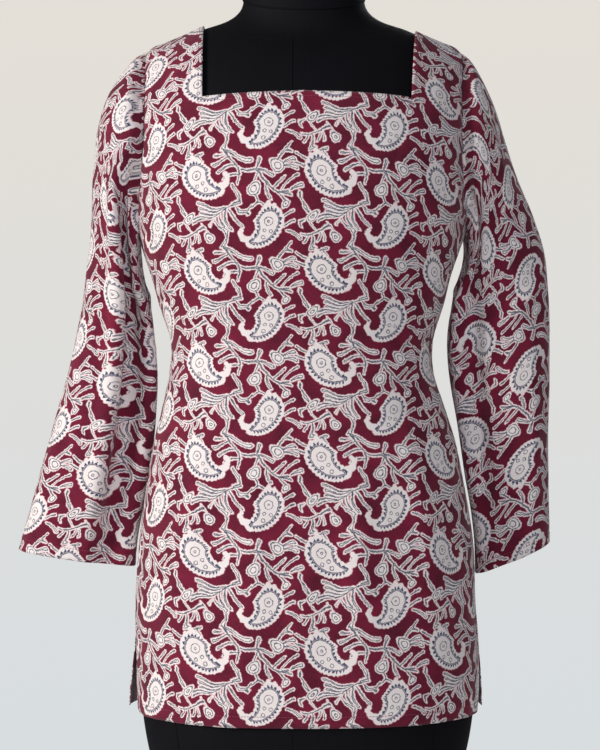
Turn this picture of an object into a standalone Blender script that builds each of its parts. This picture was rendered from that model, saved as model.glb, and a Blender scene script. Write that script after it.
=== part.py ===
"""Kurta tunic with a square neck and long flared sleeves, on a limbless dress form.

Metres, +Z up. The front faces -Y, and the origin is the centre of the underside of the base.
The body of the tunic and the torso below it are the same surface at two offsets. Each of its
level sections is a superellipse. Above the underarm the surface closes in a quarter ellipse up
to the sloping line of the shoulders.
"""

import bpy
import numpy as np

# Cloth
WALL = 0.0015
SEAM_GAP = 0.0003
SEAM_TURN = 0.0006

# Heights
HEM_Z = 0.280
SLIT_TOP_Z = 0.372
UNDERARM_Z = 0.760
NECK_POINT_Z = 0.973
TORSO_BOTTOM_Z = 0.168

# Section shape of the body
ROUNDNESS = 2.35
SHOULDER_Y = 0.008

# Body of the tunic: outer half-widths towards -X (left) and +X (right), and depths, at each height
BODY_COLUMNS = ("z", "left", "right", "front", "back")
BODY_ROWS = (
    (0.160, 0.130, 0.136, 0.092, 0.095),
    (0.200, 0.150, 0.157, 0.106, 0.110),
    (0.240, 0.161, 0.169, 0.115, 0.119),
    (0.280, 0.1675, 0.1755, 0.120, 0.124),
    (0.336, 0.1690, 0.1765, 0.121, 0.126),
    (0.387, 0.1700, 0.1735, 0.121, 0.127),
    (0.448, 0.1665, 0.1710, 0.118, 0.124),
    (0.506, 0.1590, 0.1620, 0.112, 0.114),
    (0.550, 0.1515, 0.1530, 0.106, 0.102),
    (0.585, 0.1430, 0.1420, 0.100, 0.092),
    (0.620, 0.1360, 0.1310, 0.097, 0.084),
    (0.647, 0.1340, 0.1300, 0.098, 0.082),
    (0.692, 0.1470, 0.1420, 0.107, 0.084),
    (0.717, 0.1540, 0.1480, 0.113, 0.087),
    (0.740, 0.1620, 0.1560, 0.119, 0.091),
    (0.760, 0.1690, 0.1640, 0.124, 0.096),
)

# Shoulder line: its height at each distance from the middle
SHOULDER_COLUMNS = ("x", "z")
SHOULDER_ROWS = (
    (0.000, 0.988),
    (0.050, 0.984),
    (0.080, 0.979),
    (0.102, 0.973),
    (0.125, 0.963),
    (0.140, 0.957),
    (0.155, 0.951),
    (0.165, 0.943),
    (0.180, 0.925),
)

# Armhole: distance of its edge from the middle at each share of the rise to the shoulder
ARMHOLE_COLUMNS = ("rise", "left", "right")
ARMHOLE_ROWS = (
    (0.00, 1.000, 1.000),
    (0.07, 0.985, 0.985),
    (0.16, 0.965, 0.965),
    (0.30, 0.945, 0.950),
    (0.50, 0.935, 0.945),
    (0.75, 0.940, 0.955),
    (1.00, 0.925, 0.945),
)

# Half-width of the shoulders, where the body's own surface would end
SHOULDER_LEFT = 0.1710
SHOULDER_RIGHT = 0.1690

# Neck opening
NECK_LEFT_FOOT = 0.0990
NECK_LEFT_TOP = 0.1020
NECK_RIGHT_FOOT = 0.1045
NECK_RIGHT_TOP = 0.1150
FRONT_NECK_Z = 0.887
BACK_NECK_Z = 0.945
NECK_SAG = 0.016
NECK_SAG_REACH = 0.12

# Side slits
BACK_FLARE_LEFT = 0.0110
BACK_FLARE_RIGHT = 0.0060
FRONT_DRAW_IN = 0.0006
SLIT_REACH_START = 0.55

# Soft lengthwise folds of the body, depth at the hem, fading upwards
FOLD_COLUMNS = ("turn", "width", "depth", "top")
FRONT_FOLDS = (
    (-0.72, 0.110, 0.0035, 0.62),
    (-0.30, 0.150, 0.0022, 0.50),
    (0.34, 0.140, 0.0025, 0.52),
    (0.74, 0.110, 0.0035, 0.60),
)
BACK_FOLDS = (
    (-0.66, 0.120, 0.0040, 0.62),
    (-0.20, 0.130, 0.0030, 0.56),
    (0.24, 0.130, 0.0028, 0.54),
    (0.68, 0.120, 0.0040, 0.62),
)

# Sleeves: outer and inner edge, half-depths, ridge place and hollow beside it
SLEEVE_COLUMNS = (
    "outer_x", "outer_z", "inner_x", "inner_z", "front", "back", "shift_y", "ridge", "hollow",
)
WEARERS_RIGHT_ROWS = (
    (-0.1800, 0.9295, -0.1720, 0.7480, 0.057, 0.057, 0.004, 0.50, 0.00),
    (-0.1960, 0.9060, -0.1715, 0.7300, 0.056, 0.056, 0.005, 0.48, 0.10),
    (-0.2075, 0.8740, -0.1685, 0.7120, 0.054, 0.054, 0.007, 0.46, 0.25),
    (-0.2135, 0.8300, -0.1650, 0.6950, 0.051, 0.050, 0.009, 0.45, 0.40),
    (-0.2160, 0.7850, -0.1590, 0.6740, 0.048, 0.046, 0.011, 0.45, 0.50),
    (-0.2190, 0.7450, -0.1550, 0.6520, 0.045, 0.043, 0.013, 0.46, 0.55),
    (-0.2245, 0.7040, -0.1530, 0.6280, 0.042, 0.040, 0.015, 0.47, 0.55),
    (-0.2325, 0.6600, -0.1525, 0.6000, 0.040, 0.038, 0.017, 0.48, 0.52),
    (-0.2420, 0.6180, -0.1540, 0.5700, 0.038, 0.036, 0.018, 0.50, 0.48),
    (-0.2530, 0.5780, -0.1575, 0.5400, 0.037, 0.035, 0.019, 0.52, 0.44),
    (-0.2635, 0.5400, -0.1620, 0.5080, 0.036, 0.034, 0.020, 0.54, 0.40),
    (-0.2740, 0.5040, -0.1675, 0.4780, 0.036, 0.034, 0.020, 0.56, 0.36),
    (-0.2835, 0.4690, -0.1725, 0.4490, 0.036, 0.034, 0.020, 0.58, 0.32),
    (-0.2920, 0.4370, -0.1750, 0.4210, 0.036, 0.034, 0.020, 0.60, 0.28),
)
WEARERS_LEFT_ROWS = (
    (0.1740, 0.9295, 0.1690, 0.7500, 0.057, 0.057, 0.004, 0.50, 0.00),
    (0.1895, 0.8990, 0.1695, 0.7320, 0.056, 0.056, 0.005, 0.50, 0.05),
    (0.2040, 0.8560, 0.1665, 0.7150, 0.054, 0.054, 0.007, 0.48, 0.10),
    (0.2180, 0.8140, 0.1590, 0.6990, 0.051, 0.050, 0.009, 0.46, 0.16),
    (0.2340, 0.7770, 0.1520, 0.6800, 0.048, 0.046, 0.011, 0.44, 0.22),
    (0.2450, 0.7440, 0.1490, 0.6590, 0.045, 0.043, 0.013, 0.42, 0.26),
    (0.2500, 0.7020, 0.1495, 0.6350, 0.043, 0.041, 0.015, 0.42, 0.28),
    (0.2515, 0.6560, 0.1530, 0.6060, 0.041, 0.039, 0.017, 0.42, 0.28),
    (0.2515, 0.6120, 0.1585, 0.5750, 0.039, 0.037, 0.018, 0.42, 0.27),
    (0.2510, 0.5700, 0.1630, 0.5440, 0.038, 0.036, 0.019, 0.44, 0.25),
    (0.2505, 0.5330, 0.1680, 0.5110, 0.037, 0.035, 0.020, 0.44, 0.23),
    (0.2505, 0.5020, 0.1735, 0.4780, 0.037, 0.035, 0.020, 0.46, 0.20),
    (0.2510, 0.4730, 0.1775, 0.4450, 0.037, 0.035, 0.020, 0.46, 0.18),
    (0.2520, 0.4460, 0.1785, 0.4130, 0.037, 0.035, 0.020, 0.48, 0.16),
)
SLEEVE_ROUNDNESS = 2.1
HOLLOW_STEEPNESS = 1.5

# Dress form: how far its surface lies inside the outer face of the cloth
EASE_COLUMNS = ("z", "ease")
EASE_ROWS = (
    (0.160, 0.0030),
    (0.280, 0.0034),
    (0.400, 0.0034),
    (0.560, 0.0050),
    (0.640, 0.0050),
    (0.700, 0.0030),
    (0.760, 0.0027),
)
SHOULDER_EASE = 0.0027
SHOULDER_EASE_RISE = 0.25
ARM_END_EASE = 0.0075
ARM_END_RISE = 1.0 / 6.0

# Neck of the form: a stub joined to the torso up to a tilted seam, then a cap
NECK_Y = -0.008
NECK_RING_Z = 0.998
NECK_TILT = 0.40
NECK_COLUMNS = ("drop", "half_width", "half_depth", "tilt_share")
NECK_ROWS = (
    (0.0850, 0.0520, 0.0380, 0.0),
    (0.0340, 0.0700, 0.0430, 0.4),
    (0.0160, 0.0690, 0.0470, 0.8),
    (0.0060, 0.0640, 0.0480, 1.0),
    (0.0000, 0.0615, 0.0480, 1.0),
)
CAP_COLUMNS = ("rise", "half_width", "half_depth")
CAP_ROWS = (
    (0.0000, 0.0610, 0.0475),
    (0.0250, 0.0590, 0.0465),
    (0.0440, 0.0580, 0.0455),
    (0.0510, 0.0555, 0.0435),
    (0.0540, 0.0500, 0.0390),
)

# Stand
BASE_RADIUS = 0.150
BASE_EDGE_RADIUS = 0.004
BASE_HEIGHT = 0.012
POLE_RADIUS = 0.0160
SOCKET_RADIUS = 0.030
SOCKET_TOP_RADIUS = 0.024
SOCKET_HEIGHT = 0.022
ROUND_STEPS = 40
AXIS_MERGE = 0.00001

# Divisions of the surfaces
NECK_DIVISIONS = 8
SIDE_DIVISIONS = 6
LOWER_DIVISIONS = 14
CHEST_DIVISIONS = 6
YOKE_DIVISIONS = 3
SHOULDER_DIVISIONS = 3
SLEEVE_DIVISIONS = 24
FORM_SIDE_DIVISIONS = 11
BELOW_HEM_DIVISIONS = 4
NECK_RING_DIVISIONS = 28

# Colours of the pieces: red, green, blue, roughness, metallic
PRINTED_COTTON = (0.26, 0.035, 0.075, 0.85, 0.0)
BLACK_JERSEY = (0.012, 0.013, 0.017, 0.80, 0.0)
BLACK_METAL = (0.020, 0.020, 0.022, 0.45, 0.6)


def clear_scene():
    """Removes every object that the new file starts with."""
    for obj in list(bpy.data.objects):
        bpy.data.objects.remove(obj, do_unlink=True)


def new_collection(name):
    """Makes a collection in the scene."""
    collection = bpy.data.collections.new(name)
    bpy.context.scene.collection.children.link(collection)
    return collection


def new_material(name, finish):
    """Makes a plain material from red, green, blue, roughness and metallic."""
    red, green, blue, roughness, metallic = finish
    material = bpy.data.materials.new(name)
    material.use_nodes = True
    shader = material.node_tree.nodes["Principled BSDF"]
    shader.inputs["Base Color"].default_value = (red, green, blue, 1.0)
    shader.inputs["Roughness"].default_value = roughness
    shader.inputs["Metallic"].default_value = metallic
    return material


def new_piece(collection, name, points, faces, finish):
    """Makes one named mesh object with a material of its own, shaded smooth."""
    mesh = bpy.data.meshes.new(name)
    mesh.from_pydata(points.tolist(), [], faces)
    mesh.update()
    mesh.shade_smooth()
    piece = bpy.data.objects.new(name, mesh)
    collection.objects.link(piece)
    mesh.materials.append(new_material(name + "_finish", finish))
    return piece


def smooth_row(columns, rows, name, place):
    """Reads one column of a table at the places given in its first column, on smooth curves."""
    table = np.array(rows)
    knots = table[:, 0]
    values = table[:, columns.index(name)]
    slopes = np.gradient(values, knots)
    place = np.clip(place, knots[0], knots[-1])
    index = np.clip(np.searchsorted(knots, place, side="right") - 1, 0, len(knots) - 2)
    step = knots[index + 1] - knots[index]
    share = (place - knots[index]) / step
    start = values[index] * (1.0 + 2.0 * share) * (1.0 - share) ** 2
    end = values[index + 1] * share**2 * (3.0 - 2.0 * share)
    leave = slopes[index] * step * share * (1.0 - share) ** 2
    arrive = slopes[index + 1] * step * share**2 * (share - 1.0)
    return start + end + leave + arrive


def body_value(name, z):
    """One column of the body's table at a height."""
    return smooth_row(BODY_COLUMNS, BODY_ROWS, name, z)


def shoulder_height(x):
    """Height of the shoulder line at a distance from the middle."""
    return smooth_row(SHOULDER_COLUMNS, SHOULDER_ROWS, "z", np.abs(x))


def half_width(z, rise, side, inset):
    """Half-width of the body's own surface on one side, at a height or a share of the rise."""
    name, shoulder = ("left", SHOULDER_LEFT) if side < 0 else ("right", SHOULDER_RIGHT)
    below = body_value(name, z)
    at_rise = below + (shoulder - below) * np.sin(rise * np.pi / 2.0)
    arm_end = ARM_END_EASE * np.clip(rise / ARM_END_RISE, 0.0, 1.0) * (inset > 0.0)
    return at_rise - inset - arm_end


def body_point(turn, z, rise, face, inset):
    """A point of the body's surface.

    turn runs from -1 at the left side seam to 1 at the right one and is 0 in the middle. z is the
    height of the section at or below the underarm, and rise the share of the way from there to
    the shoulder line. face is -1 for the front and 1 for the back. inset moves it inwards.
    """
    turn, z, rise, inset = np.broadcast_arrays(turn, z, rise, inset)
    angle = turn * np.pi / 2.0
    left = half_width(z, rise, -1, inset)
    right = half_width(z, rise, 1, inset)
    width = np.where(turn < 0.0, left, right)
    depth_name = "front" if face < 0 else "back"
    depth = body_value(depth_name, z) - inset
    power = 2.0 / ROUNDNESS
    x = width * np.sign(turn) * np.abs(np.sin(angle)) ** power
    y = face * depth * np.clip(np.cos(angle), 0.0, 1.0) ** power
    climb = np.sin(rise * np.pi / 2.0)
    close = np.cos(rise * np.pi / 2.0)
    # The inset grows a little along the shoulder line, so that the two surfaces stay parallel.
    top = shoulder_height(x) - inset * climb
    height = z + (top - z) * climb
    depth_at_rise = SHOULDER_Y * climb + (y - SHOULDER_Y * climb) * close
    return np.stack([x, depth_at_rise, height], axis=-1)


def turn_of_x(x, z, rise):
    """The turn at which the outer surface lies at a distance x from the middle."""
    side = -1 if x < 0 else 1
    width = half_width(np.array(z), np.array(rise), side, 0.0)
    share = np.clip(np.abs(x) / width, 0.0, 1.0)
    return side * np.arcsin(share ** (ROUNDNESS / 2.0)) * 2.0 / np.pi


def armhole_turn(rise, side):
    """The turn of the armhole's edge, given as a share of the shoulder's half-width."""
    name = "left" if side < 0 else "right"
    share = smooth_row(ARMHOLE_COLUMNS, ARMHOLE_ROWS, name, rise)
    return side * np.arcsin(share ** (ROUNDNESS / 2.0)) * 2.0 / np.pi


def rise_of_height(z):
    """The share of the rise at which the neck's part of the surface reaches a height."""
    return np.arcsin((z - UNDERARM_Z) / (NECK_POINT_Z - UNDERARM_Z)) * 2.0 / np.pi


def lower_heights():
    """Heights of the rows from the hem to the underarm, one of them at the top of the slits."""
    heights = np.linspace(HEM_Z, UNDERARM_Z, LOWER_DIVISIONS + 1)
    heights[np.argmin(np.abs(heights - SLIT_TOP_Z))] = SLIT_TOP_Z
    return heights


def upper_rises():
    """Rises of the rows above the underarm, with a row at each neck's foot."""
    front = rise_of_height(FRONT_NECK_Z)
    back = rise_of_height(BACK_NECK_Z)
    chest = np.linspace(0.0, front, CHEST_DIVISIONS + 1)[1:]
    yoke = np.linspace(front, back, YOKE_DIVISIONS + 1)[1:]
    shoulder = np.linspace(back, 1.0, SHOULDER_DIVISIONS + 1)[1:]
    return np.concatenate([chest, yoke, shoulder])


def body_rows():
    """Rows of the body from the hem up: the height of each section, and its rise above it."""
    lower = lower_heights()
    rises = upper_rises()
    z = np.concatenate([lower, np.full(len(rises), UNDERARM_Z)])
    return z, np.concatenate([np.zeros(len(lower)), rises])


def neck_edge(rise, neck_rise, side):
    """Distance of the neck's side edge from the middle."""
    foot, top = (NECK_LEFT_FOOT, NECK_LEFT_TOP) if side < 0 else (NECK_RIGHT_FOOT, NECK_RIGHT_TOP)
    share = np.clip((rise - neck_rise) / (1.0 - neck_rise), 0.0, 1.0)
    return side * (foot + (top - foot) * share)


def panel_turns(z, rise, neck_rise):
    """The turns of one row's points: side block, neck block and side block."""
    turns = []
    outer = {}
    inner = {}
    for side in (-1, 1):
        outer[side] = armhole_turn(rise, side) if rise > 0.0 else float(side)
        inner[side] = turn_of_x(neck_edge(rise, neck_rise, side), z, rise)
    turns.extend(np.linspace(outer[-1], inner[-1], SIDE_DIVISIONS + 1)[:-1])
    turns.extend(np.linspace(inner[-1], inner[1], NECK_DIVISIONS + 1)[:-1])
    turns.extend(np.linspace(inner[1], outer[1], SIDE_DIVISIONS + 1))
    return np.array(turns)


def fold_offset(turn, z, folds):
    """How far the soft lengthwise folds move the cloth outwards."""
    out = np.zeros_like(turn)
    for middle, width, depth, top in folds:
        fade = np.clip((top - z) / (top - HEM_Z), 0.0, 1.0)
        out += depth * fade * np.exp(-(((turn - middle) / width) ** 2))
    return out


def panel_points(face, neck_z, folds):
    """Outer points of a body panel as rows of points, with the row where the neck starts."""
    z_rows, rises = body_rows()
    neck_rise = rise_of_height(neck_z)
    neck_row = int(np.argmin(np.abs(rises - neck_rise)))
    rows = []
    for z, rise in zip(z_rows, rises):
        turn = panel_turns(z, rise, neck_rise)
        middle = np.clip(1.0 - (turn / turn[SIDE_DIVISIONS]) ** 2, 0.0, 1.0)
        near_neck = np.exp(-(((rise - neck_rise) / NECK_SAG_REACH) ** 2)) if rise > 0.0 else 0.0
        sag = NECK_SAG * middle * near_neck * (face < 0)
        points = body_point(turn, z, rise - sag, face, 0.0)
        slit = np.clip((SLIT_TOP_Z - z) / (SLIT_TOP_Z - HEM_Z), 0.0, 1.0)
        near_edge = np.clip((np.abs(turn) - SLIT_REACH_START) / (1.0 - SLIT_REACH_START), 0.0, 1.0) ** 2
        if face > 0:
            flare = np.where(turn < 0.0, -BACK_FLARE_LEFT, BACK_FLARE_RIGHT)
            points[:, 0] += flare * slit * near_edge
        else:
            points[:, 0] -= np.sign(turn) * FRONT_DRAW_IN * slit * near_edge
        points[:, 1] += face * fold_offset(turn, z, folds)
        points[:, 1] += face * SEAM_TURN
        rows.append(points)
    return np.array(rows), neck_row


def sheet_faces(rows, columns, skip):
    """Quads of a grid of points, without those that skip names."""
    faces = []
    for row in range(rows - 1):
        for column in range(columns - 1):
            if skip(row, column):
                continue
            corner = row * columns + column
            faces.append((corner, corner + 1, corner + columns + 1, corner + columns))
    return faces


def ring_faces(rings, size):
    """Quads between a stack of rings of the same size, each closed on itself."""
    faces = []
    for ring in range(rings - 1):
        for step in range(size):
            start = ring * size + step
            following = ring * size + (step + 1) % size
            faces.append((start, following, following + size, start + size))
    return faces


def without_loose(points, faces):
    """Drops the points that no face uses."""
    used = np.unique(np.array(faces))
    place = np.full(len(points), -1)
    place[used] = np.arange(len(used))
    return points[used], [tuple(int(place[corner]) for corner in face) for face in faces]


def add_wall(piece):
    """Gives an open surface the thickness of the cloth, inwards."""
    wall = piece.modifiers.new("wall", "SOLIDIFY")
    wall.thickness = WALL
    wall.offset = -1.0
    wall.use_even_offset = True
    wall.use_quality_normals = True


def build_panel(collection, name, face, neck_z, folds):
    """A body panel: the sheet of its points with the neck left open, then its wall."""
    grid, neck_row = panel_points(face, neck_z, folds)
    rows, columns = grid.shape[:2]

    def in_neck(row, column):
        return row >= neck_row and SIDE_DIVISIONS <= column < SIDE_DIVISIONS + NECK_DIVISIONS

    faces = sheet_faces(rows, columns, in_neck)
    if face > 0:
        faces = [tuple(reversed(quad)) for quad in faces]
    points, faces = without_loose(grid.reshape(-1, 3), faces)
    piece = new_piece(collection, name, points, faces, PRINTED_COTTON)
    add_wall(piece)
    return piece


def armhole_loop(side, angles):
    """The armhole's edge at each angle of a sleeve ring: 0 at the top, front side first."""
    loop = []
    for angle in angles:
        face = -1 if angle <= np.pi else 1
        share = angle / np.pi if angle <= np.pi else 2.0 - angle / np.pi
        # share is 0 at the shoulder and 1 at the underarm
        rise = np.clip(1.0 - share, 0.0, 1.0)
        turn = armhole_turn(np.array(rise), side) if rise > 0.0 else float(side)
        loop.append(body_point(np.array(turn), np.array(UNDERARM_Z), np.array(rise), face, 0.0))
    return np.array(loop)


def sleeve_ring(row, side, angles):
    """One ring of a sleeve, from its outer edge round the front to its inner edge and back."""
    outer = np.array([row["outer_x"], 0.0, row["outer_z"]])
    inner = np.array([row["inner_x"], 0.0, row["inner_z"]])
    power = 2.0 / SLEEVE_ROUNDNESS
    across = 0.5 * (1.0 - np.sign(np.cos(angles)) * np.abs(np.cos(angles)) ** power)
    swell = np.abs(np.sin(angles)) ** power
    past_ridge = np.clip((across - row["ridge"]) / (1.0 - row["ridge"]), 0.0, 1.0)
    hollow = row["hollow"] * np.sin(past_ridge * np.pi) ** HOLLOW_STEEPNESS
    front = -row["front"] * swell * (1.0 - hollow)
    back = row["back"] * swell
    y = np.where(angles <= np.pi, front, back) + row["shift_y"]
    points = outer + (inner - outer) * across[:, None]
    points[:, 1] = y
    return points


def build_sleeve(collection, name, side, rows):
    """A sleeve: its rings from the armhole to the cuff, then its wall."""
    angles = np.arange(SLEEVE_DIVISIONS) * 2.0 * np.pi / SLEEVE_DIVISIONS
    loop = armhole_loop(side, angles)
    loop[:, 0] += side * (SEAM_GAP + SEAM_TURN)
    rings = [loop]
    for values in rows:
        rings.append(sleeve_ring(dict(zip(SLEEVE_COLUMNS, values)), side, angles))
    points = np.array(rings)
    faces = ring_faces(len(rings), SLEEVE_DIVISIONS)
    if side < 0:
        faces = [tuple(reversed(quad)) for quad in faces]
    piece = new_piece(collection, name, points.reshape(-1, 3), faces, PRINTED_COTTON)
    add_wall(piece)
    return piece


def form_inset(z, rise):
    """How far the form lies inside the outer face of the cloth."""
    ease = smooth_row(EASE_COLUMNS, EASE_ROWS, "ease", z)
    return ease + (SHOULDER_EASE - ease) * np.clip(rise / SHOULDER_EASE_RISE, 0.0, 1.0)


def build_torso(collection):
    """The limbless torso: rings from its flat bottom up, closed along the line of the shoulders."""
    z_rows, rise_rows = body_rows()
    below_hem = np.linspace(TORSO_BOTTOM_Z, HEM_Z, BELOW_HEM_DIVISIONS + 1)[:-1]
    z_rows = np.concatenate([below_hem, z_rows])
    rise_rows = np.concatenate([np.zeros(len(below_hem)), rise_rows])
    turns = np.linspace(-1.0, 1.0, 2 * FORM_SIDE_DIVISIONS + 1)
    points = []
    for z, rise in zip(z_rows, rise_rows):
        inset = form_inset(z, rise)
        points.append(body_point(turns, z, rise, -1, inset))
        if rise < 1.0:
            points.append(body_point(turns[::-1][1:-1], z, rise, 1, inset))
    ring = 2 * (len(turns) - 1)
    count = len(z_rows) - 1
    faces = ring_faces(count, ring)
    top = count * ring
    below = (count - 1) * ring
    last = len(turns) - 1
    for step in range(last):
        faces.append((below + step, below + step + 1, top + step + 1, top + step))
        back = (below + ring - step) if step > 0 else below
        faces.append((below + ring - step - 1, back, top + step, top + step + 1))
    faces.append(tuple(range(ring))[::-1])
    return new_piece(collection, "form_torso", np.concatenate(points), faces, BLACK_JERSEY)


def oval(half_wide, half_deep):
    """A level ring round the neck."""
    angles = np.arange(NECK_RING_DIVISIONS) * 2.0 * np.pi / NECK_RING_DIVISIONS
    x = half_wide * np.sin(angles)
    y = NECK_Y - half_deep * np.cos(angles)
    return x, y


def tilted_height(y, rise, tilt_share=1.0):
    """Height of a ring parallel to the tilted neck seam, lower at the front."""
    return NECK_RING_Z + NECK_TILT * tilt_share * (y - NECK_Y) + rise


def closed_stack(collection, name, rings):
    """A closed solid from a stack of rings with a flat fan at each end."""
    count = len(rings)
    size = NECK_RING_DIVISIONS
    middles = [rings[0].mean(axis=0)[None], rings[-1].mean(axis=0)[None]]
    points = np.concatenate(rings + middles)
    faces = ring_faces(count, size)
    for step in range(size):
        following = (step + 1) % size
        faces.append((following, step, count * size))
        faces.append(((count - 1) * size + step, (count - 1) * size + following, count * size + 1))
    return new_piece(collection, name, points, faces, BLACK_JERSEY)


def join_neck(collection, torso):
    """Joins the neck's stub, which starts well inside the torso, to the torso."""
    rings = []
    for drop, half_wide, half_deep, tilt_share in NECK_ROWS:
        x, y = oval(half_wide, half_deep)
        rings.append(np.stack([x, y, tilted_height(y, -drop, tilt_share)], axis=-1))
    stub = closed_stack(collection, "neck_stub", rings)
    stub.hide_render = True
    stub.display_type = "WIRE"
    joining = torso.modifiers.new("neck", "BOOLEAN")
    joining.operation = "UNION"
    joining.solver = "EXACT"
    joining.object = stub


def build_neck_cap(collection):
    """The closed top of the neck above its tilted seam."""
    rings = []
    for rise, half_wide, half_deep in CAP_ROWS:
        x, y = oval(half_wide, half_deep)
        rings.append(np.stack([x, y, tilted_height(y, rise + SEAM_GAP)], axis=-1))
    return closed_stack(collection, "form_neck_cap", rings)


def turned_piece(collection, name, profile, finish):
    """A turned solid from a profile of radius and height that runs down its outer side."""
    mesh = bpy.data.meshes.new(name)
    points = [(radius, 0.0, height) for radius, height in profile]
    edges = [(index, index + 1) for index in range(len(points) - 1)]
    mesh.from_pydata(points, edges, [])
    piece = bpy.data.objects.new(name, mesh)
    collection.objects.link(piece)
    mesh.materials.append(new_material(name + "_finish", finish))
    turning = piece.modifiers.new("turning", "SCREW")
    turning.steps = ROUND_STEPS
    turning.render_steps = ROUND_STEPS
    turning.use_merge_vertices = True
    turning.merge_threshold = AXIS_MERGE
    turning.use_smooth_shade = True
    return piece


def build_stand(collection):
    """The round base with its socket, and the pole up into the torso's bottom."""
    turned_piece(
        collection,
        "stand_base",
        (
            (0.0, BASE_HEIGHT + SOCKET_HEIGHT),
            (SOCKET_TOP_RADIUS, BASE_HEIGHT + SOCKET_HEIGHT),
            (SOCKET_RADIUS, BASE_HEIGHT),
            (BASE_RADIUS - BASE_EDGE_RADIUS, BASE_HEIGHT),
            (BASE_RADIUS, BASE_HEIGHT - BASE_EDGE_RADIUS),
            (BASE_RADIUS, 0.0),
            (0.0, 0.0),
        ),
        BLACK_METAL,
    )
    foot = BASE_HEIGHT + SOCKET_HEIGHT + SEAM_GAP
    head = TORSO_BOTTOM_Z - SEAM_GAP
    turned_piece(
        collection,
        "stand_pole",
        ((0.0, head), (POLE_RADIUS, head), (POLE_RADIUS, foot), (0.0, foot)),
        BLACK_METAL,
    )


def main():
    """Builds the tunic and the form in one collection."""
    clear_scene()
    pieces = new_collection("kurta_tunic")
    build_panel(pieces, "front", -1, FRONT_NECK_Z, FRONT_FOLDS)
    build_panel(pieces, "back", 1, BACK_NECK_Z, BACK_FOLDS)
    build_sleeve(pieces, "sleeve_right", -1, WEARERS_RIGHT_ROWS)
    build_sleeve(pieces, "sleeve_left", 1, WEARERS_LEFT_ROWS)
    torso = build_torso(pieces)
    join_neck(new_collection("cutters"), torso)
    build_neck_cap(pieces)
    build_stand(pieces)


main()
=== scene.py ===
"""Kurta tunic of block-printed cotton on a black dress form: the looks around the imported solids.

Metres, +Z up, the front faces -Y. The cloth repeats the surfaces of its solids at a fine pitch
and adds creases, seams, hems and stitches. The print is drawn by distance formulas in
millimetres of cloth, on each piece's own UV map, which is in metres.
"""

import logging
import math
from dataclasses import dataclass, field
from enum import Enum
from typing import Sequence

import bpy
import numpy as np
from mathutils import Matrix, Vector


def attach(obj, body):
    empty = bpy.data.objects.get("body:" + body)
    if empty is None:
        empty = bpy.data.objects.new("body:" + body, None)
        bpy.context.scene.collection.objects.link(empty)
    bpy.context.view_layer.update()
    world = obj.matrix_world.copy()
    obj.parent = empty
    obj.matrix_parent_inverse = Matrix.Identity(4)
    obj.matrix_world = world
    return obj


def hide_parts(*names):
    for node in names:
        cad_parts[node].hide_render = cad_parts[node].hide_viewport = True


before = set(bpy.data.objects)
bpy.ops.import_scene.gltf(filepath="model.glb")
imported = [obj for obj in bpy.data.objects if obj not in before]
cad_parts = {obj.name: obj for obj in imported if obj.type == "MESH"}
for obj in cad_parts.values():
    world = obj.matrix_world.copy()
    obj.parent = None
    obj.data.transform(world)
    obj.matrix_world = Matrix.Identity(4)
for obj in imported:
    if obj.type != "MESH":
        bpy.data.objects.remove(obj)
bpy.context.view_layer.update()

LOG = logging.getLogger("kurta")
Socket = bpy.types.NodeSocket
Point = tuple[float, float]

# Heights of the tunic and the form, which its solids have too
HEM_Z = 0.280
SLIT_TOP_Z = 0.372
UNDERARM_Z = 0.760
NECK_POINT_Z = 0.973
TORSO_BOTTOM_Z = 0.168
FRONT_NECK_Z = 0.887
BACK_NECK_Z = 0.945

MILLIMETRE = 0.001
QUARTER_TURN = math.pi / 2.0


class Face(Enum):
    """The two sides of the body: its sign along Y."""

    FRONT = -1
    BACK = 1


class Side(Enum):
    """The two sides of the viewer: their sign along X."""

    LEFT = -1
    RIGHT = 1


@dataclass(frozen=True)
class Table:
    """A short table whose first column is a place and whose others are read on smooth curves."""

    columns: tuple[str, ...]
    rows: tuple[tuple[float, ...], ...]

    def at(self, name: str, place: np.ndarray) -> np.ndarray:
        """Reads a column by cubic pieces whose slopes are the central differences of its rows.

        Args:
            name: The column.
            place: Where to read it, in units of the first column.

        Returns:
            The values, in the shape of place.
        """
        table = np.array(self.rows)
        knots = table[:, 0]
        values = table[:, self.columns.index(name)]
        return smooth_along(values, knots, place)


def smooth_along(values: np.ndarray, knots: np.ndarray, place: np.ndarray) -> np.ndarray:
    """Cubic Hermite interpolation along the first axis, with slopes from central differences.

    Args:
        values: Rows of numbers or of points, one for each knot.
        knots: Places of the rows, rising.
        place: Where to read them.

    Returns:
        The interpolated rows.
    """
    slopes = np.gradient(values, knots, axis=0)
    place = np.clip(place, knots[0], knots[-1])
    index = np.clip(np.searchsorted(knots, place, side="right") - 1, 0, len(knots) - 2)
    step = knots[index + 1] - knots[index]
    share = (place - knots[index]) / step
    extra = (1,) * (values.ndim - 1)
    step = step.reshape(step.shape + extra)
    share = share.reshape(share.shape + extra)
    start = values[index] * (1.0 + 2.0 * share) * (1.0 - share) ** 2
    end = values[index + 1] * share**2 * (3.0 - 2.0 * share)
    leave = slopes[index] * step * share * (1.0 - share) ** 2
    arrive = slopes[index + 1] * step * share**2 * (share - 1.0)
    return start + end + leave + arrive


def signed_power(value: np.ndarray, power: float) -> np.ndarray:
    """The power of a value's size, with its sign kept."""
    return np.sign(value) * np.abs(value) ** power


def bell(distance: np.ndarray, width: float) -> np.ndarray:
    """A soft hump: e to the minus square of the distance over the width."""
    return np.exp(-((distance / width) ** 2))


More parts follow.
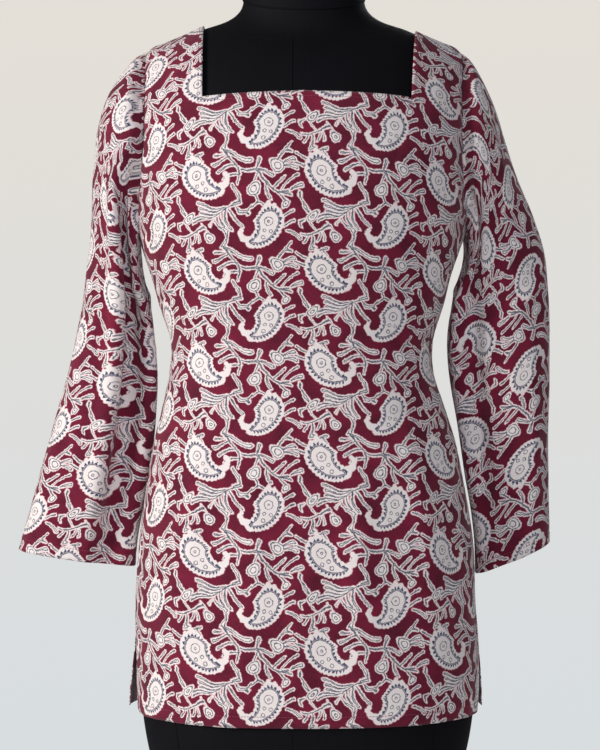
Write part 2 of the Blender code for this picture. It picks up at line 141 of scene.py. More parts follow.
@dataclass(frozen=True)
class Crease:
    """A ridge (height above 0) or trough in the cloth between two places on it, in metres."""

    start: Point
    end: Point
    width: float
    height: float
    bow: float = 0.0

    def offset(self, u: np.ndarray, v: np.ndarray) -> np.ndarray:
        """Height of the crease: a bell across its line, fading to nothing at both of its ends.

        The line is the straight one between the ends, moved sideways by bow times a parabola.

        Args:
            u: Places across the cloth.
            v: Places along the cloth.

        Returns:
            How far the crease moves the cloth outwards there.
        """
        line = np.array(self.end) - np.array(self.start)
        length = float(np.hypot(*line))
        along = ((u - self.start[0]) * line[0] + (v - self.start[1]) * line[1]) / length**2
        across = ((u - self.start[0]) * line[1] - (v - self.start[1]) * line[0]) / length
        inside = np.clip(along, 0.0, 1.0)
        fade = np.sin(inside * math.pi) ** 0.8
        across = across - self.bow * 4.0 * inside * (1.0 - inside)
        width = self.width * (0.65 + 0.7 * inside)
        return self.height * fade * bell(across, width)


def crease_offset(creases: Sequence[Crease], u: np.ndarray, v: np.ndarray) -> np.ndarray:
    """The sum of the offsets of several creases."""
    total = np.zeros_like(u)
    for crease in creases:
        total = total + crease.offset(u, v)
    return total


def slackness(u: np.ndarray, v: np.ndarray, height: float, seed: float) -> np.ndarray:
    """Gentle unevenness of slack cloth: four sine waves of unlike lengths and directions.

    Args:
        u: Places across the cloth.
        v: Places along the cloth.
        height: Half of the range of the sum.
        seed: Phase that makes one piece unlike another.

    Returns:
        The offset, from 0 to twice the height.
    """
    waves = (
        np.sin(u * 61.0 + v * 17.0 + seed)
        + np.sin(u * 37.0 - v * 41.0 + seed * 2.3)
        + 0.6 * np.sin(u * 95.0 + v * 63.0 + seed * 3.1)
        + 0.6 * np.sin(v * 88.0 - u * 23.0 + seed * 0.7)
    )
    return height * (1.0 + waves / 3.2)


class Grid:
    """A surface as rows of points, with its normals and its place on the cloth in metres."""

    def __init__(self, points: np.ndarray, closed: bool, flip: bool) -> None:
        """Keeps the points and works out the normals.

        Args:
            points: Rows, columns and three coordinates.
            closed: Whether the last column joins the first.
            flip: Whether the faces and the normals are turned round.
        """
        self.points = points
        self.closed = closed
        self.flip = flip
        self.cloth = np.zeros(points.shape[:2] + (2,))
        self.normals = self.find_normals()

    def find_normals(self) -> np.ndarray:
        """Unit normals: the cross product of the differences across and along the surface."""
        along = np.gradient(self.points, axis=0)
        if self.closed:
            across = np.roll(self.points, -1, axis=1) - np.roll(self.points, 1, axis=1)
        else:
            across = np.gradient(self.points, axis=1)
        normals = np.cross(across, along)
        length = np.linalg.norm(normals, axis=-1, keepdims=True)
        normals = normals / np.maximum(length, 1e-12)
        return -normals if self.flip else normals

    def push(self, offset: np.ndarray) -> None:
        """Moves each point along its normal, then works the normals out again."""
        self.points = self.points + self.normals * offset[..., None]
        self.normals = self.find_normals()

    def soften_rows(self, middle: int, reach: float, passes: int, weight: np.ndarray) -> None:
        """Evens out the surface along its columns near one row.

        Each pass takes a share of the mean of the rows above and below. The share is a bell of
        the distance in rows, times the given weight.

        Args:
            middle: The row.
            reach: Rows over which the share falls.
            passes: How many times it is done.
            weight: Weight of each point, such as less near an edge.
        """
        rows = np.arange(self.points.shape[0])[:, None]
        share = (0.5 * bell(rows - middle, reach) * weight)[..., None]
        share[0] = share[-1] = 0.0
        for _ in range(passes):
            mean = (np.roll(self.points, 1, axis=0) + np.roll(self.points, -1, axis=0)) / 2.0
            self.points = self.points + (mean - self.points) * share
        self.normals = self.find_normals()

    def measure(self, across: np.ndarray, along: np.ndarray) -> None:
        """Keeps the place of each point on the cloth, in metres across and along."""
        self.cloth = np.stack([across, along], axis=-1)

    def sample(self, rows: np.ndarray, columns: np.ndarray) -> tuple[np.ndarray, np.ndarray]:
        """Points and normals between the grid's own, by weighting the four round each place.

        Args:
            rows: Places along, as row numbers with fractions.
            columns: Places across, as column numbers with fractions.

        Returns:
            The points and the unit normals.
        """
        count = self.points.shape[1]
        low_row = np.clip(np.floor(rows).astype(int), 0, self.points.shape[0] - 2)
        low_column = np.floor(columns).astype(int)
        if not self.closed:
            low_column = np.clip(low_column, 0, count - 2)
        up = (rows - low_row)[:, None]
        right = (columns - low_column)[:, None]
        found = []
        for values in (self.points, self.normals):
            below = values[low_row, low_column % count] * (1.0 - right)
            below = below + values[low_row, (low_column + 1) % count] * right
            above = values[low_row + 1, low_column % count] * (1.0 - right)
            above = above + values[low_row + 1, (low_column + 1) % count] * right
            found.append(below * (1.0 - up) + above * up)
        length = np.linalg.norm(found[1], axis=-1, keepdims=True)
        return found[0], found[1] / np.maximum(length, 1e-12)

    def quads(self) -> np.ndarray:
        """Corner numbers of the quads, row by row, facing along the normals."""
        rows, columns = self.points.shape[:2]
        spans = columns if self.closed else columns - 1
        row, column = np.mgrid[0 : rows - 1, 0:spans]
        following = (column + 1) % columns
        low = row * columns
        high = low + columns
        corners = [low + column, low + following, high + following, high + column]
        if self.flip:
            corners.reverse()
        return np.stack(corners, axis=-1)

    def quad_places(self) -> np.ndarray:
        """Places on the cloth of the quads' corners, in the order of quads()."""
        cloth = self.cloth
        if self.closed:
            girth = self.girth() * np.sign(cloth[:, 1, 0] - cloth[:, 0, 0])
            last = cloth[:, :1] + np.stack([girth, np.zeros_like(girth)], axis=-1)[:, None]
            cloth = np.concatenate([cloth, last], axis=1)
        corners = [cloth[:-1, :-1], cloth[:-1, 1:], cloth[1:, 1:], cloth[1:, :-1]]
        if self.flip:
            corners.reverse()
        return np.stack(corners, axis=2)

    def girth(self) -> np.ndarray:
        """Length of each closed row once round."""
        following = np.roll(self.points, -1, axis=1)
        return np.linalg.norm(following - self.points, axis=-1).sum(axis=1)


def new_object(name: str, mesh: bpy.types.Mesh) -> bpy.types.Object:
    """Makes an object of a mesh at the origin and links it into the scene."""
    piece = bpy.data.objects.new(name, mesh)
    bpy.context.scene.collection.objects.link(piece)
    return piece


def mesh_of_quads(name: str, points: np.ndarray, quads: np.ndarray,
                  places: np.ndarray | None = None) -> bpy.types.Object:
    """Makes a smooth-shaded object of quads, without the points that none of them uses.

    Args:
        name: Name of the object and its mesh.
        points: All the points, one in each row.
        quads: Corner numbers, four in each row.
        places: Place on the cloth of each corner of each quad, for the UV map.

    Returns:
        The object.
    """
    used, corners = np.unique(quads.reshape(-1), return_inverse=True)
    mesh = bpy.data.meshes.new(name)
    mesh.from_pydata(points[used].tolist(), [], corners.reshape(-1, 4).tolist())
    if places is not None:
        layer = mesh.uv_layers.new(name="cloth")
        layer.data.foreach_set("uv", places.astype(np.float32).reshape(-1))
    mesh.shade_smooth()
    mesh.update()
    return new_object(name, mesh)


def dress(piece: bpy.types.Object, materials: Sequence[bpy.types.Material]) -> None:
    """Gives a piece its materials and lets it ride on the part."""
    for material in materials:
        piece.data.materials.append(material)
    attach(piece, "root")
    LOG.info("%s: %d faces", piece.name, len(piece.data.polygons))


@dataclass
class BodySurface:
    """The surface that the tunic's body and the dress form share, at unlike insets.

    Level sections are superellipses. Above the underarm the surface closes in a quarter ellipse
    up to the sloping line of the shoulders.
    """

    roundness: float = 2.35
    shoulder_y: float = 0.008
    shoulder_left: float = 0.1710
    shoulder_right: float = 0.1690
    arm_end_ease: float = 0.0075
    arm_end_rise: float = 1.0 / 6.0
    sections: Table = Table(
        ("z", "left", "right", "front", "back"),
        (
            (0.160, 0.130, 0.136, 0.092, 0.095),
            (0.200, 0.150, 0.157, 0.106, 0.110),
            (0.240, 0.161, 0.169, 0.115, 0.119),
            (0.280, 0.1675, 0.1755, 0.120, 0.124),
            (0.336, 0.1690, 0.1765, 0.121, 0.126),
            (0.387, 0.1700, 0.1735, 0.121, 0.127),
            (0.448, 0.1665, 0.1710, 0.118, 0.124),
            (0.506, 0.1590, 0.1620, 0.112, 0.114),
            (0.550, 0.1515, 0.1530, 0.106, 0.102),
            (0.585, 0.1430, 0.1420, 0.100, 0.092),
            (0.620, 0.1360, 0.1310, 0.097, 0.084),
            (0.647, 0.1340, 0.1300, 0.098, 0.082),
            (0.692, 0.1470, 0.1420, 0.107, 0.084),
            (0.717, 0.1540, 0.1480, 0.113, 0.087),
            (0.740, 0.1620, 0.1560, 0.119, 0.091),
            (0.760, 0.1690, 0.1640, 0.124, 0.096),
        ),
    )
    shoulder_line: Table = Table(
        ("x", "z"),
        (
            (0.000, 0.988),
            (0.050, 0.984),
            (0.080, 0.979),
            (0.102, 0.973),
            (0.125, 0.963),
            (0.140, 0.957),
            (0.155, 0.951),
            (0.165, 0.943),
            (0.180, 0.925),
        ),
    )
    armhole: Table = Table(
        ("rise", "left", "right"),
        (
            (0.00, 1.000, 1.000),
            (0.07, 0.985, 0.985),
            (0.16, 0.965, 0.965),
            (0.30, 0.945, 0.950),
            (0.50, 0.935, 0.945),
            (0.75, 0.940, 0.955),
            (1.00, 0.925, 0.945),
        ),
    )

    def half_width(self, z: np.ndarray, rise: np.ndarray, side: Side,
                   inset: np.ndarray) -> np.ndarray:
        """Half-width of the surface on one side, at a height or a share of the rise.

        Args:
            z: Height of the section.
            rise: Share of the way from the underarm to the shoulder line.
            side: Which side of the middle.
            inset: How far inside the cloth's outer face.

        Returns:
            The distance from the middle.
        """
        left = side is Side.LEFT
        below = self.sections.at("left" if left else "right", z)
        shoulder = self.shoulder_left if left else self.shoulder_right
        at_rise = below + (shoulder - below) * np.sin(rise * QUARTER_TURN)
        arm_end = self.arm_end_ease * np.clip(rise / self.arm_end_rise, 0.0, 1.0)
        return at_rise - inset - arm_end * (inset > 0.0)

    def at(self, turn: np.ndarray, z: np.ndarray, rise: np.ndarray, face: Face,
           inset: np.ndarray | float = 0.0) -> np.ndarray:
        """Points of the surface.

        x is the half-width times a power of the sine of the turn, y the depth times the same
        power of its cosine. The rise closes y to the shoulder line and lifts z to it.

        Args:
            turn: From -1 at the left side seam to 1 at the right one.
            z: Height of the section at or below the underarm.
            rise: Share of the way up from there to the shoulder line.
            face: Front or back.
            inset: How far inside the cloth's outer face.

        Returns:
            The points.
        """
        turn, z, rise, inset = np.broadcast_arrays(turn, z, rise, inset)
        angle = turn * QUARTER_TURN
        left = self.half_width(z, rise, Side.LEFT, inset)
        right = self.half_width(z, rise, Side.RIGHT, inset)
        power = 2.0 / self.roundness
        depth = self.sections.at("front" if face is Face.FRONT else "back", z) - inset
        x = np.where(turn < 0.0, left, right) * signed_power(np.sin(angle), power)
        y = face.value * depth * np.clip(np.cos(angle), 0.0, 1.0) ** power
        climb = np.sin(rise * QUARTER_TURN)
        close = np.cos(rise * QUARTER_TURN)
        top = self.shoulder_line.at("z", np.abs(x)) - inset * climb
        middle = self.shoulder_y * climb
        return np.stack([x, middle + (y - middle) * close, z + (top - z) * climb], axis=-1)

    def turn_of_x(self, x: np.ndarray, z: np.ndarray, rise: np.ndarray, side: Side) -> np.ndarray:
        """The turn at which the outer surface lies at a distance x from the middle."""
        width = self.half_width(z, rise, side, np.zeros_like(z))
        share = np.clip(np.abs(x) / width, 0.0, 1.0)
        return side.value * np.arcsin(share ** (self.roundness / 2.0)) / QUARTER_TURN

    def armhole_turn(self, rise: np.ndarray, side: Side) -> np.ndarray:
        """The turn of the armhole's edge at a share of the rise."""
        share = self.armhole.at("left" if side is Side.LEFT else "right", rise)
        share = np.where(rise > 0.0, share, 1.0)
        return side.value * np.arcsin(share ** (self.roundness / 2.0)) / QUARTER_TURN

    def armhole_loop(self, side: Side, angles: np.ndarray) -> np.ndarray:
        """The armhole's edge at each angle of a sleeve's ring: 0 at the top, front side first."""
        rise = np.abs(angles / math.pi - 1.0)
        turn = self.armhole_turn(rise, side)
        z = np.full_like(rise, UNDERARM_Z)
        front = self.at(turn, z, rise, Face.FRONT)
        back = self.at(turn, z, rise, Face.BACK)
        return np.where((angles <= math.pi)[:, None], front, back)

    def height_at(self, x: np.ndarray, y: np.ndarray, inset: float) -> np.ndarray:
        """Height of the surface above a level place near the neck, by halving the rise.

        Args:
            x: Distance from the middle.
            y: Depth.
            inset: How far inside the cloth's outer face.

        Returns:
            The height.
        """
        z = np.full_like(x, UNDERARM_Z)
        side = np.where(x < 0.0, -1.0, 1.0)
        low = np.zeros_like(x)
        high = np.ones_like(x)
        for _ in range(30):
            rise = (low + high) / 2.0
            left = self.half_width(z, rise, Side.LEFT, inset)
            right = self.half_width(z, rise, Side.RIGHT, inset)
            width = np.where(side < 0.0, left, right)
            sine = np.clip(np.abs(x) / width, 0.0, 1.0) ** (self.roundness / 2.0)
            turn = side * np.arcsin(sine) / QUARTER_TURN
            front = self.at(turn, z, rise, Face.FRONT, inset)[..., 1]
            back = self.at(turn, z, rise, Face.BACK, inset)[..., 1]
            middle = self.shoulder_y * np.sin(rise * QUARTER_TURN)
            outside = np.where(y < middle, front < y, back > y)
            low = np.where(outside, rise, low)
            high = np.where(outside, high, rise)
        climb = np.sin((low + high) / 2.0 * QUARTER_TURN)
        top = self.shoulder_line.at("z", np.abs(x)) - inset * climb
        return z + (top - z) * climb


def rise_of_height(z: float) -> float:
    """The share of the rise at which the neck's part of the surface reaches a height."""
    return math.asin((z - UNDERARM_Z) / (NECK_POINT_Z - UNDERARM_Z)) / QUARTER_TURN


@dataclass(frozen=True)
class Fold:
    """A soft lengthwise fold of a body panel: its turn, width and depth at the hem, and top."""

    turn: float
    width: float
    depth: float
    top: float


@dataclass
class BodyPanel:
    """The front or back panel with its neck opening, side slits, hem, seams and creases."""

    name: str
    face: Face
    neck_z: float
    folds: tuple[Fold, ...]
    creases: tuple[Crease, ...]
    body: BodySurface
    flat: Point
    flat_area: float
    lay: "Lay"
    slit_flare_left: float = 0.0
    slit_flare_right: float = 0.0
    slack: float = 0.00045
    seed: float = 0.4
    wall: float = 0.0009
    neck_left_foot: float = 0.0990
    neck_left_top: float = 0.1020
    neck_right_foot: float = 0.1045
    neck_right_top: float = 0.1150
    neck_sag: float = 0.016
    neck_sag_reach: float = 0.12
    slit_reach_start: float = 0.55
    lower_divisions: int = 112
    chest_divisions: int = 34
    yoke_divisions: int = 16
    shoulder_divisions: int = 16
    side_divisions: int = 30
    neck_divisions: int = 44
    blend_rows: float = 8.0
    blend_passes: int = 60
    edge_ease: float = 0.030
    hem_width: float = 0.011
    hem_groove: float = 0.00045
    hem_groove_width: float = 0.0016
    hem_waver: float = 0.00035
    seam_swell: float = 0.0007
    seam_width: float = 0.0030

    def rows(self) -> tuple[np.ndarray, np.ndarray]:
        """Heights of the level sections from the hem up, and the rise of the rows above them."""
        front = rise_of_height(FRONT_NECK_Z)
        back = rise_of_height(BACK_NECK_Z)
        lower = np.linspace(HEM_Z, UNDERARM_Z, self.lower_divisions + 1)
        chest = np.linspace(0.0, front, self.chest_divisions + 1)[1:]
        yoke = np.linspace(front, back, self.yoke_divisions + 1)[1:]
        shoulder = np.linspace(back, 1.0, self.shoulder_divisions + 1)[1:]
        upper = np.concatenate([chest, yoke, shoulder])
        z = np.concatenate([lower, np.full(len(upper), UNDERARM_Z)])
        return z, np.concatenate([np.zeros(len(lower)), upper])

    def neck_row(self) -> int:
        """Number of the row at which the neck opening starts."""
        below = self.lower_divisions + self.chest_divisions
        return below if self.face is Face.FRONT else below + self.yoke_divisions

    def turns(self, z: np.ndarray, rise: np.ndarray) -> np.ndarray:
        """Turns of the grid: even steps from each outer edge to the neck's edges and between."""
        neck_rise = rise_of_height(self.neck_z)
        share = np.clip((rise - neck_rise) / (1.0 - neck_rise), 0.0, 1.0)
        left_x = self.neck_left_foot + (self.neck_left_top - self.neck_left_foot) * share
        right_x = self.neck_right_foot + (self.neck_right_top - self.neck_right_foot) * share
        corners = [
            self.body.armhole_turn(rise, Side.LEFT),
            self.body.turn_of_x(left_x, z, rise, Side.LEFT),
            self.body.turn_of_x(right_x, z, rise, Side.RIGHT),
            self.body.armhole_turn(rise, Side.RIGHT),
        ]
        counts = (self.side_divisions, self.neck_divisions, self.side_divisions)
        blocks = []
        for start, end, count in zip(corners, corners[1:], counts):
            share = np.arange(count) / count
            blocks.append(start[:, None] + (end - start)[:, None] * share)
        blocks.append(corners[-1][:, None])
        return np.concatenate(blocks, axis=1)

    def surface(self) -> Grid:
        """The outer face of the panel: the body's surface with slits, folds and neck sag."""
        z, rise = self.rows()
        turn = self.turns(z, rise)
        z = z[:, None]
        rise = rise[:, None]
        sign = self.face.value
        sag = 0.0
        if self.face is Face.FRONT:
            neck_rise = rise_of_height(self.neck_z)
            edge = turn[:, self.side_divisions][:, None]
            middle = np.clip(1.0 - (turn / edge) ** 2, 0.0, 1.0)
            sag = self.neck_sag * middle * bell(rise - neck_rise, self.neck_sag_reach) * (rise > 0.0)
        points = self.body.at(turn, z, rise - sag, self.face)
        slit = np.clip((SLIT_TOP_Z - z) / (SLIT_TOP_Z - HEM_Z), 0.0, 1.0)
        reach = (np.abs(turn) - self.slit_reach_start) / (1.0 - self.slit_reach_start)
        near_edge = np.clip(reach, 0.0, 1.0) ** 2
        flare = np.where(turn < 0.0, -self.slit_flare_left, self.slit_flare_right)
        points[..., 0] += flare * slit * near_edge
        for fold in self.folds:
            fade = np.clip((fold.top - z) / (fold.top - HEM_Z), 0.0, 1.0)
            points[..., 1] += sign * fold.depth * fade * bell(turn - fold.turn, fold.width)
        grid = Grid(points, closed=False, flip=self.face is Face.BACK)
        columns = np.arange(points.shape[1])[None]
        from_edge = np.minimum(columns, columns[:, ::-1])
        weight = np.clip(from_edge / self.blend_rows, 0.0, 1.0)
        grid.soften_rows(self.lower_divisions, self.blend_rows, self.blend_passes, weight)
        return grid

    def lay_out(self, grid: Grid) -> None:
        """Places the points on the cloth: across from the middle, and up from the hem."""
        steps = np.linalg.norm(np.diff(grid.points, axis=1), axis=-1)
        across = np.concatenate([np.zeros((len(steps), 1)), np.cumsum(steps, axis=1)], axis=1)
        x = grid.points[..., 0]
        past = np.argmax(x >= 0.0, axis=1)
        row = np.arange(len(x))
        share = x[row, past] / (x[row, past] - x[row, past - 1])
        middle = across[row, past] - share * (across[row, past] - across[row, past - 1])
        climbs = np.linalg.norm(np.diff(grid.points, axis=0), axis=-1).mean(axis=1)
        up = np.concatenate([[0.0], np.cumsum(climbs)])
        along = np.broadcast_to(up[:, None], x.shape)
        grid.measure((across - middle[:, None]) * -self.face.value, along)

    def finish_surface(self, grid: Grid) -> None:
        """Adds creases, slack, the puckered swell beside the seams and the turned hem."""
        x = grid.points[..., 0]
        height = grid.points[..., 2]
        across, along = grid.cloth[..., 0], grid.cloth[..., 1]
        offset = crease_offset(self.creases, x, height)
        from_edge = np.minimum(np.abs(across - across[:, :1]), np.abs(across - across[:, -1:]))
        fade = np.clip(from_edge / self.edge_ease, 0.0, 1.0)
        top_fade = np.clip((along[-1:, :] - along) / self.edge_ease, 0.0, 1.0)
        offset = (offset + slackness(across, along, self.slack, self.seed)) * fade * top_fade
        pucker = 1.0 + 0.5 * np.sin(along * 520.0 + 2.0 * np.sin(along * 130.0))
        swell = 1.0 - bell(np.minimum(from_edge, along[-1:, :] - along), self.seam_width)
        beside = bell(from_edge - 2.5 * self.seam_width, 2.0 * self.seam_width)
        offset += self.seam_swell * swell * (1.0 + 0.6 * (pucker - 1.0) * beside)
        wave = np.sin(across * 210.0 + 3.0 * np.sin(across * 37.0 + self.seed))
        offset -= self.hem_groove * bell(along - self.hem_width, self.hem_groove_width)
        offset += self.hem_waver * wave * bell(along, self.hem_width)
        grid.push(offset)

    def build(self, cotton: "PrintedCotton") -> None:
        """Makes the panel's cloth and its stitches.

        Args:
            cotton: The finish of the cloth.
        """
        grid = self.surface()
        self.lay_out(grid)
        self.finish_surface(grid)
        kept = np.ones((grid.points.shape[0] - 1, grid.points.shape[1] - 1), bool)
        first = self.side_divisions
        kept[self.neck_row() :, first : first + self.neck_divisions] = False
        cloth = cloth_piece(self.name + "_cloth", grid, kept, self.wall)
        dress(cloth, cotton.materials(self.name, self.lay))
        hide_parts(self.name)
        runs = self.stitch_runs(grid)
        stitches = Stitching().build(self.name + "_stitches", grid, runs)
        dress(stitches, [cotton.thread_material()])

    def stitch_runs(self, grid: Grid) -> list[np.ndarray]:
        """Lines of stitches as row and column numbers: hem, slit edges and neck edge."""
        along = grid.cloth[:, 0, 1]
        rows = np.arange(len(along), dtype=float)
        last = grid.points.shape[1] - 1.0
        hem = float(np.interp(self.hem_width, along, rows))
        slit_end = float(np.interp(SLIT_TOP_Z - HEM_Z + 0.004, along, rows))
        inset = 2.2
        neck = self.neck_row()
        left = self.side_divisions - 1.4
        right = self.side_divisions + self.neck_divisions + 1.4
        below = neck - 1.6
        top = len(along) - 1.5
        return [
            np.array([(hem, 0.6), (hem, last - 0.6)]),
            np.array([(hem, inset), (slit_end, inset)]),
            np.array([(hem, last - inset), (slit_end, last - inset)]),
            np.array([(top, left), (below, left), (below, right), (top, right)]),
        ]


def cloth_piece(name: str, grid: Grid, kept: np.ndarray | None, wall: float) -> bpy.types.Object:
    """Makes the cloth of a grid: its outer face and a wall inwards, whose inside is the reverse.

    Args:
        name: Name of the piece.
        grid: The outer face.
        kept: Which quads stay, or none where all do.
        wall: Thickness of the cloth.

    Returns:
        The cloth's object.
    """
    quads = grid.quads()
    places = grid.quad_places()
    if kept is not None:
        quads = quads[kept]
        places = places[kept]
    cloth = mesh_of_quads(name, grid.points.reshape(-1, 3), quads.reshape(-1, 4), places)
    shell = cloth.modifiers.new("wall", "SOLIDIFY")
    shell.thickness = wall
    shell.offset = -1.0
    shell.material_offset = 1
    shell.use_quality_normals = True
    return cloth


@dataclass
class Sleeve:
    """A set-in sleeve flared to its cuff: rings from the armhole down.

    A ring is a superellipse between its outer and its inner edge. Past the ridge its front is
    drawn in by the hollow.
    """

    name: str
    side: Side
    rings: Table
    creases: tuple[Crease, ...]
    body: BodySurface
    flat: Point
    flat_area: float
    lay: "Lay"
    seed: float
    roundness: float = 2.1
    hollow_steepness: float = 1.5
    slack: float = 0.0007
    wall: float = 0.0009
    even_girth: float = 0.28
    round_divisions: int = 112
    long_divisions: int = 150
    head_ease: float = 0.035
    gather_height: float = 0.0009
    gather_drop: float = 0.014
    gather_reach: float = 0.008
    hem_width: float = 0.011
    hem_groove: float = 0.00045
    hem_groove_width: float = 0.0016
    hem_waver: float = 0.0004
    seam_swell: float = 0.0008
    seam_width: float = 0.0035
    underarm_dip: float = 0.0006
    underarm_width: float = 0.003

    def ring(self, values: dict[str, float], angles: np.ndarray) -> np.ndarray:
        """One ring, from its outer edge round the front to its inner edge and back."""
        power = 2.0 / self.roundness
        across = 0.5 * (1.0 - signed_power(np.cos(angles), power))
        swell = np.abs(np.sin(angles)) ** power
        past = np.clip((across - values["ridge"]) / (1.0 - values["ridge"]), 0.0, 1.0)
        hollow = values["hollow"] * np.sin(past * math.pi) ** self.hollow_steepness
        front = -values["front"] * swell * (1.0 - hollow)
        y = np.where(angles <= math.pi, front, values["back"] * swell) + values["shift_y"]
        x = values["outer_x"] + (values["inner_x"] - values["outer_x"]) * across
        z = values["outer_z"] + (values["inner_z"] - values["outer_z"]) * across
        return np.stack([x, y, z], axis=-1)

    def surface(self) -> Grid:
        """The outer face: smooth curves through the armhole's edge and the table's rings.

        The columns run once round from the underarm seam, by the back, the outer edge and the
        front, so that the cloth's places meet at the seam.
        """
        turns = np.arange(self.round_divisions) / self.round_divisions
        angles = (turns + 0.5) % 1.0 * 2.0 * math.pi
        keys = [self.body.armhole_loop(self.side, angles)]
        for row in self.rings.rows:
            keys.append(self.ring(dict(zip(self.rings.columns, row)), angles))
        keys = np.array(keys)
        centres = keys.mean(axis=1)
        steps = np.linalg.norm(np.diff(centres, axis=0), axis=-1)
        knots = np.concatenate([[0.0], np.cumsum(steps)])
        places = np.linspace(0.0, knots[-1], self.long_divisions + 1)
        points = smooth_along(keys, knots, places)
        return Grid(points[::-1], closed=True, flip=self.side is Side.RIGHT)

    def lay_out(self, grid: Grid) -> None:
        """Places the points on the cloth: round from the outer edge, and up from the cuff."""
        following = np.roll(grid.points, -1, axis=1)
        steps = np.linalg.norm(following - grid.points, axis=-1)
        across = np.cumsum(steps, axis=1) - steps
        across -= across[:, self.round_divisions // 2][:, None]
        climbs = np.linalg.norm(np.diff(grid.points, axis=0), axis=-1)
        along = np.concatenate([np.zeros((1, climbs.shape[1])), np.cumsum(climbs, axis=0)])
        grid.measure(across * self.side.value * -1.0, along)

    def finish_surface(self, grid: Grid) -> None:
        """Adds creases, slack, the gathers and swell at the armhole and the turned cuff."""
        girth = grid.girth()[:, None]
        across = (grid.cloth[..., 0] * -self.side.value) % girth
        along = grid.cloth[..., 1]
        from_top = along[-1:, :] - along
        fade = np.clip(from_top / self.head_ease, 0.0, 1.0)
        wrapped = np.minimum(across, girth - across)
        even = across / girth * self.even_girth
        offset = crease_offset(self.creases, even, along)
        offset += slackness(wrapped, along, self.slack, self.seed)
        offset *= fade
        gathers = np.sin(across * 260.0 + 2.0 * np.sin(across * 47.0 + self.seed))
        gathered = bell(from_top - self.gather_drop, self.gather_reach) * (from_top > 0.0)
        offset += self.gather_height * gathers * gathered
        offset += self.seam_swell * (1.0 - bell(from_top, self.seam_width))
        offset -= self.hem_groove * bell(along - self.hem_width, self.hem_groove_width)
        wave = np.sin(across * 190.0 + 3.0 * np.sin(across * 41.0 + self.seed))
        offset += self.hem_waver * wave * bell(along, self.hem_width)
        offset -= self.underarm_dip * bell(across - girth / 2.0, self.underarm_width)
        grid.push(offset)

    def build(self, cotton: "PrintedCotton") -> None:
        """Makes the sleeve's cloth and the stitches of its cuff.

        Args:
            cotton: The finish of the cloth.
        """
        grid = self.surface()
        self.lay_out(grid)
        self.finish_surface(grid)
        cloth = cloth_piece(self.name + "_cloth", grid, None, self.wall)
        dress(cloth, cotton.materials(self.name, self.lay))
        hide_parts(self.name)
        row = float(np.interp(self.hem_width, grid.cloth[:, 0, 1], np.arange(len(grid.points))))
        run = np.array([(row, 0.0), (row, float(self.round_divisions))])
        stitches = Stitching().build(self.name + "_stitches", grid, [run])
        dress(stitches, [cotton.thread_material()])


@dataclass
class Stitching:
    """Lines of machine stitches: short threads that dip into the cloth at both ends."""

    pitch: float = 0.0030
    length: float = 0.0022
    radius: float = 0.00030
    lift: float = 0.00018
    rings: int = 5
    sides: int = 6

    def threads(self, grid: Grid, run: np.ndarray) -> np.ndarray:
        """Tubes of one line of stitches.

        A thread's middle line is straight along the line of stitches and lifted by a sine. Its
        radius follows the square root of the same sine, so that its ends close.

        Args:
            grid: The cloth that the stitches lie on.
            run: Corners of the line as row and column numbers.

        Returns:
            Points as threads, rings, sides and three coordinates.
        """
        fine = np.linspace(0.0, len(run) - 1.0, 4000)
        rows = np.interp(fine, np.arange(len(run)), run[:, 0])
        columns = np.interp(fine, np.arange(len(run)), run[:, 1])
        path, normals = grid.sample(rows, columns)
        steps = np.linalg.norm(np.diff(path, axis=0), axis=-1)
        distance = np.concatenate([[0.0], np.cumsum(steps)])
        starts = np.arange(self.pitch, distance[-1] - self.pitch, self.pitch)
        share = np.linspace(0.0, 1.0, self.rings)
        places = starts[:, None] + share * self.length
        middle = read_path(path, distance, places)
        normal = read_path(normals, distance, places)
        ahead = read_path(path, distance, places + self.length * 0.1) - middle
        ahead = ahead / np.maximum(np.linalg.norm(ahead, axis=-1, keepdims=True), 1e-12)
        aside = np.cross(normal, ahead)
        hump = np.sin(share * math.pi)
        radius = self.radius * np.sqrt(np.maximum(hump, 0.02))[:, None, None]
        around = np.arange(self.sides) * 2.0 * math.pi / self.sides
        circle = aside[..., None, :] * np.cos(around)[:, None]
        circle = circle + normal[..., None, :] * np.sin(around)[:, None]
        centre = middle + normal * (self.lift * hump)[:, None]
        return centre[..., None, :] + circle * radius

    def build(self, name: str, grid: Grid, runs: Sequence[np.ndarray]) -> bpy.types.Object:
        """Makes one mesh of all the threads.

        Args:
            name: Name of the piece.
            grid: The cloth that the stitches lie on.
            runs: Lines of stitches as row and column numbers.

        Returns:
            The stitches' object.
        """
        threads = np.concatenate([self.threads(grid, run) for run in runs])
        count = len(threads)
        ring, side = np.mgrid[0 : self.rings - 1, 0 : self.sides]
        following = (side + 1) % self.sides
        low = ring * self.sides
        corners = [low + following, low + side, low + self.sides + side, low + self.sides + following]
        tube = np.stack(corners, axis=-1).reshape(-1, 4)
        end = np.arange(self.sides - 1, -1, -1)
        caps = np.array([(0, 1, 2, 3), (0, 3, 4, 5)])
        far = (self.rings - 1) * self.sides + end[caps]
        tube = np.concatenate([tube, caps, far])
        start = np.arange(count) * self.rings * self.sides
        quads = start[:, None, None] + tube
        return mesh_of_quads(name, threads.reshape(-1, 3), quads.reshape(-1, 4))


def read_path(values: np.ndarray, distance: np.ndarray, places: np.ndarray) -> np.ndarray:
    """Reads the three coordinates of a path at distances along it."""
    return np.stack([np.interp(places, distance, values[:, axis]) for axis in range(3)], axis=-1)


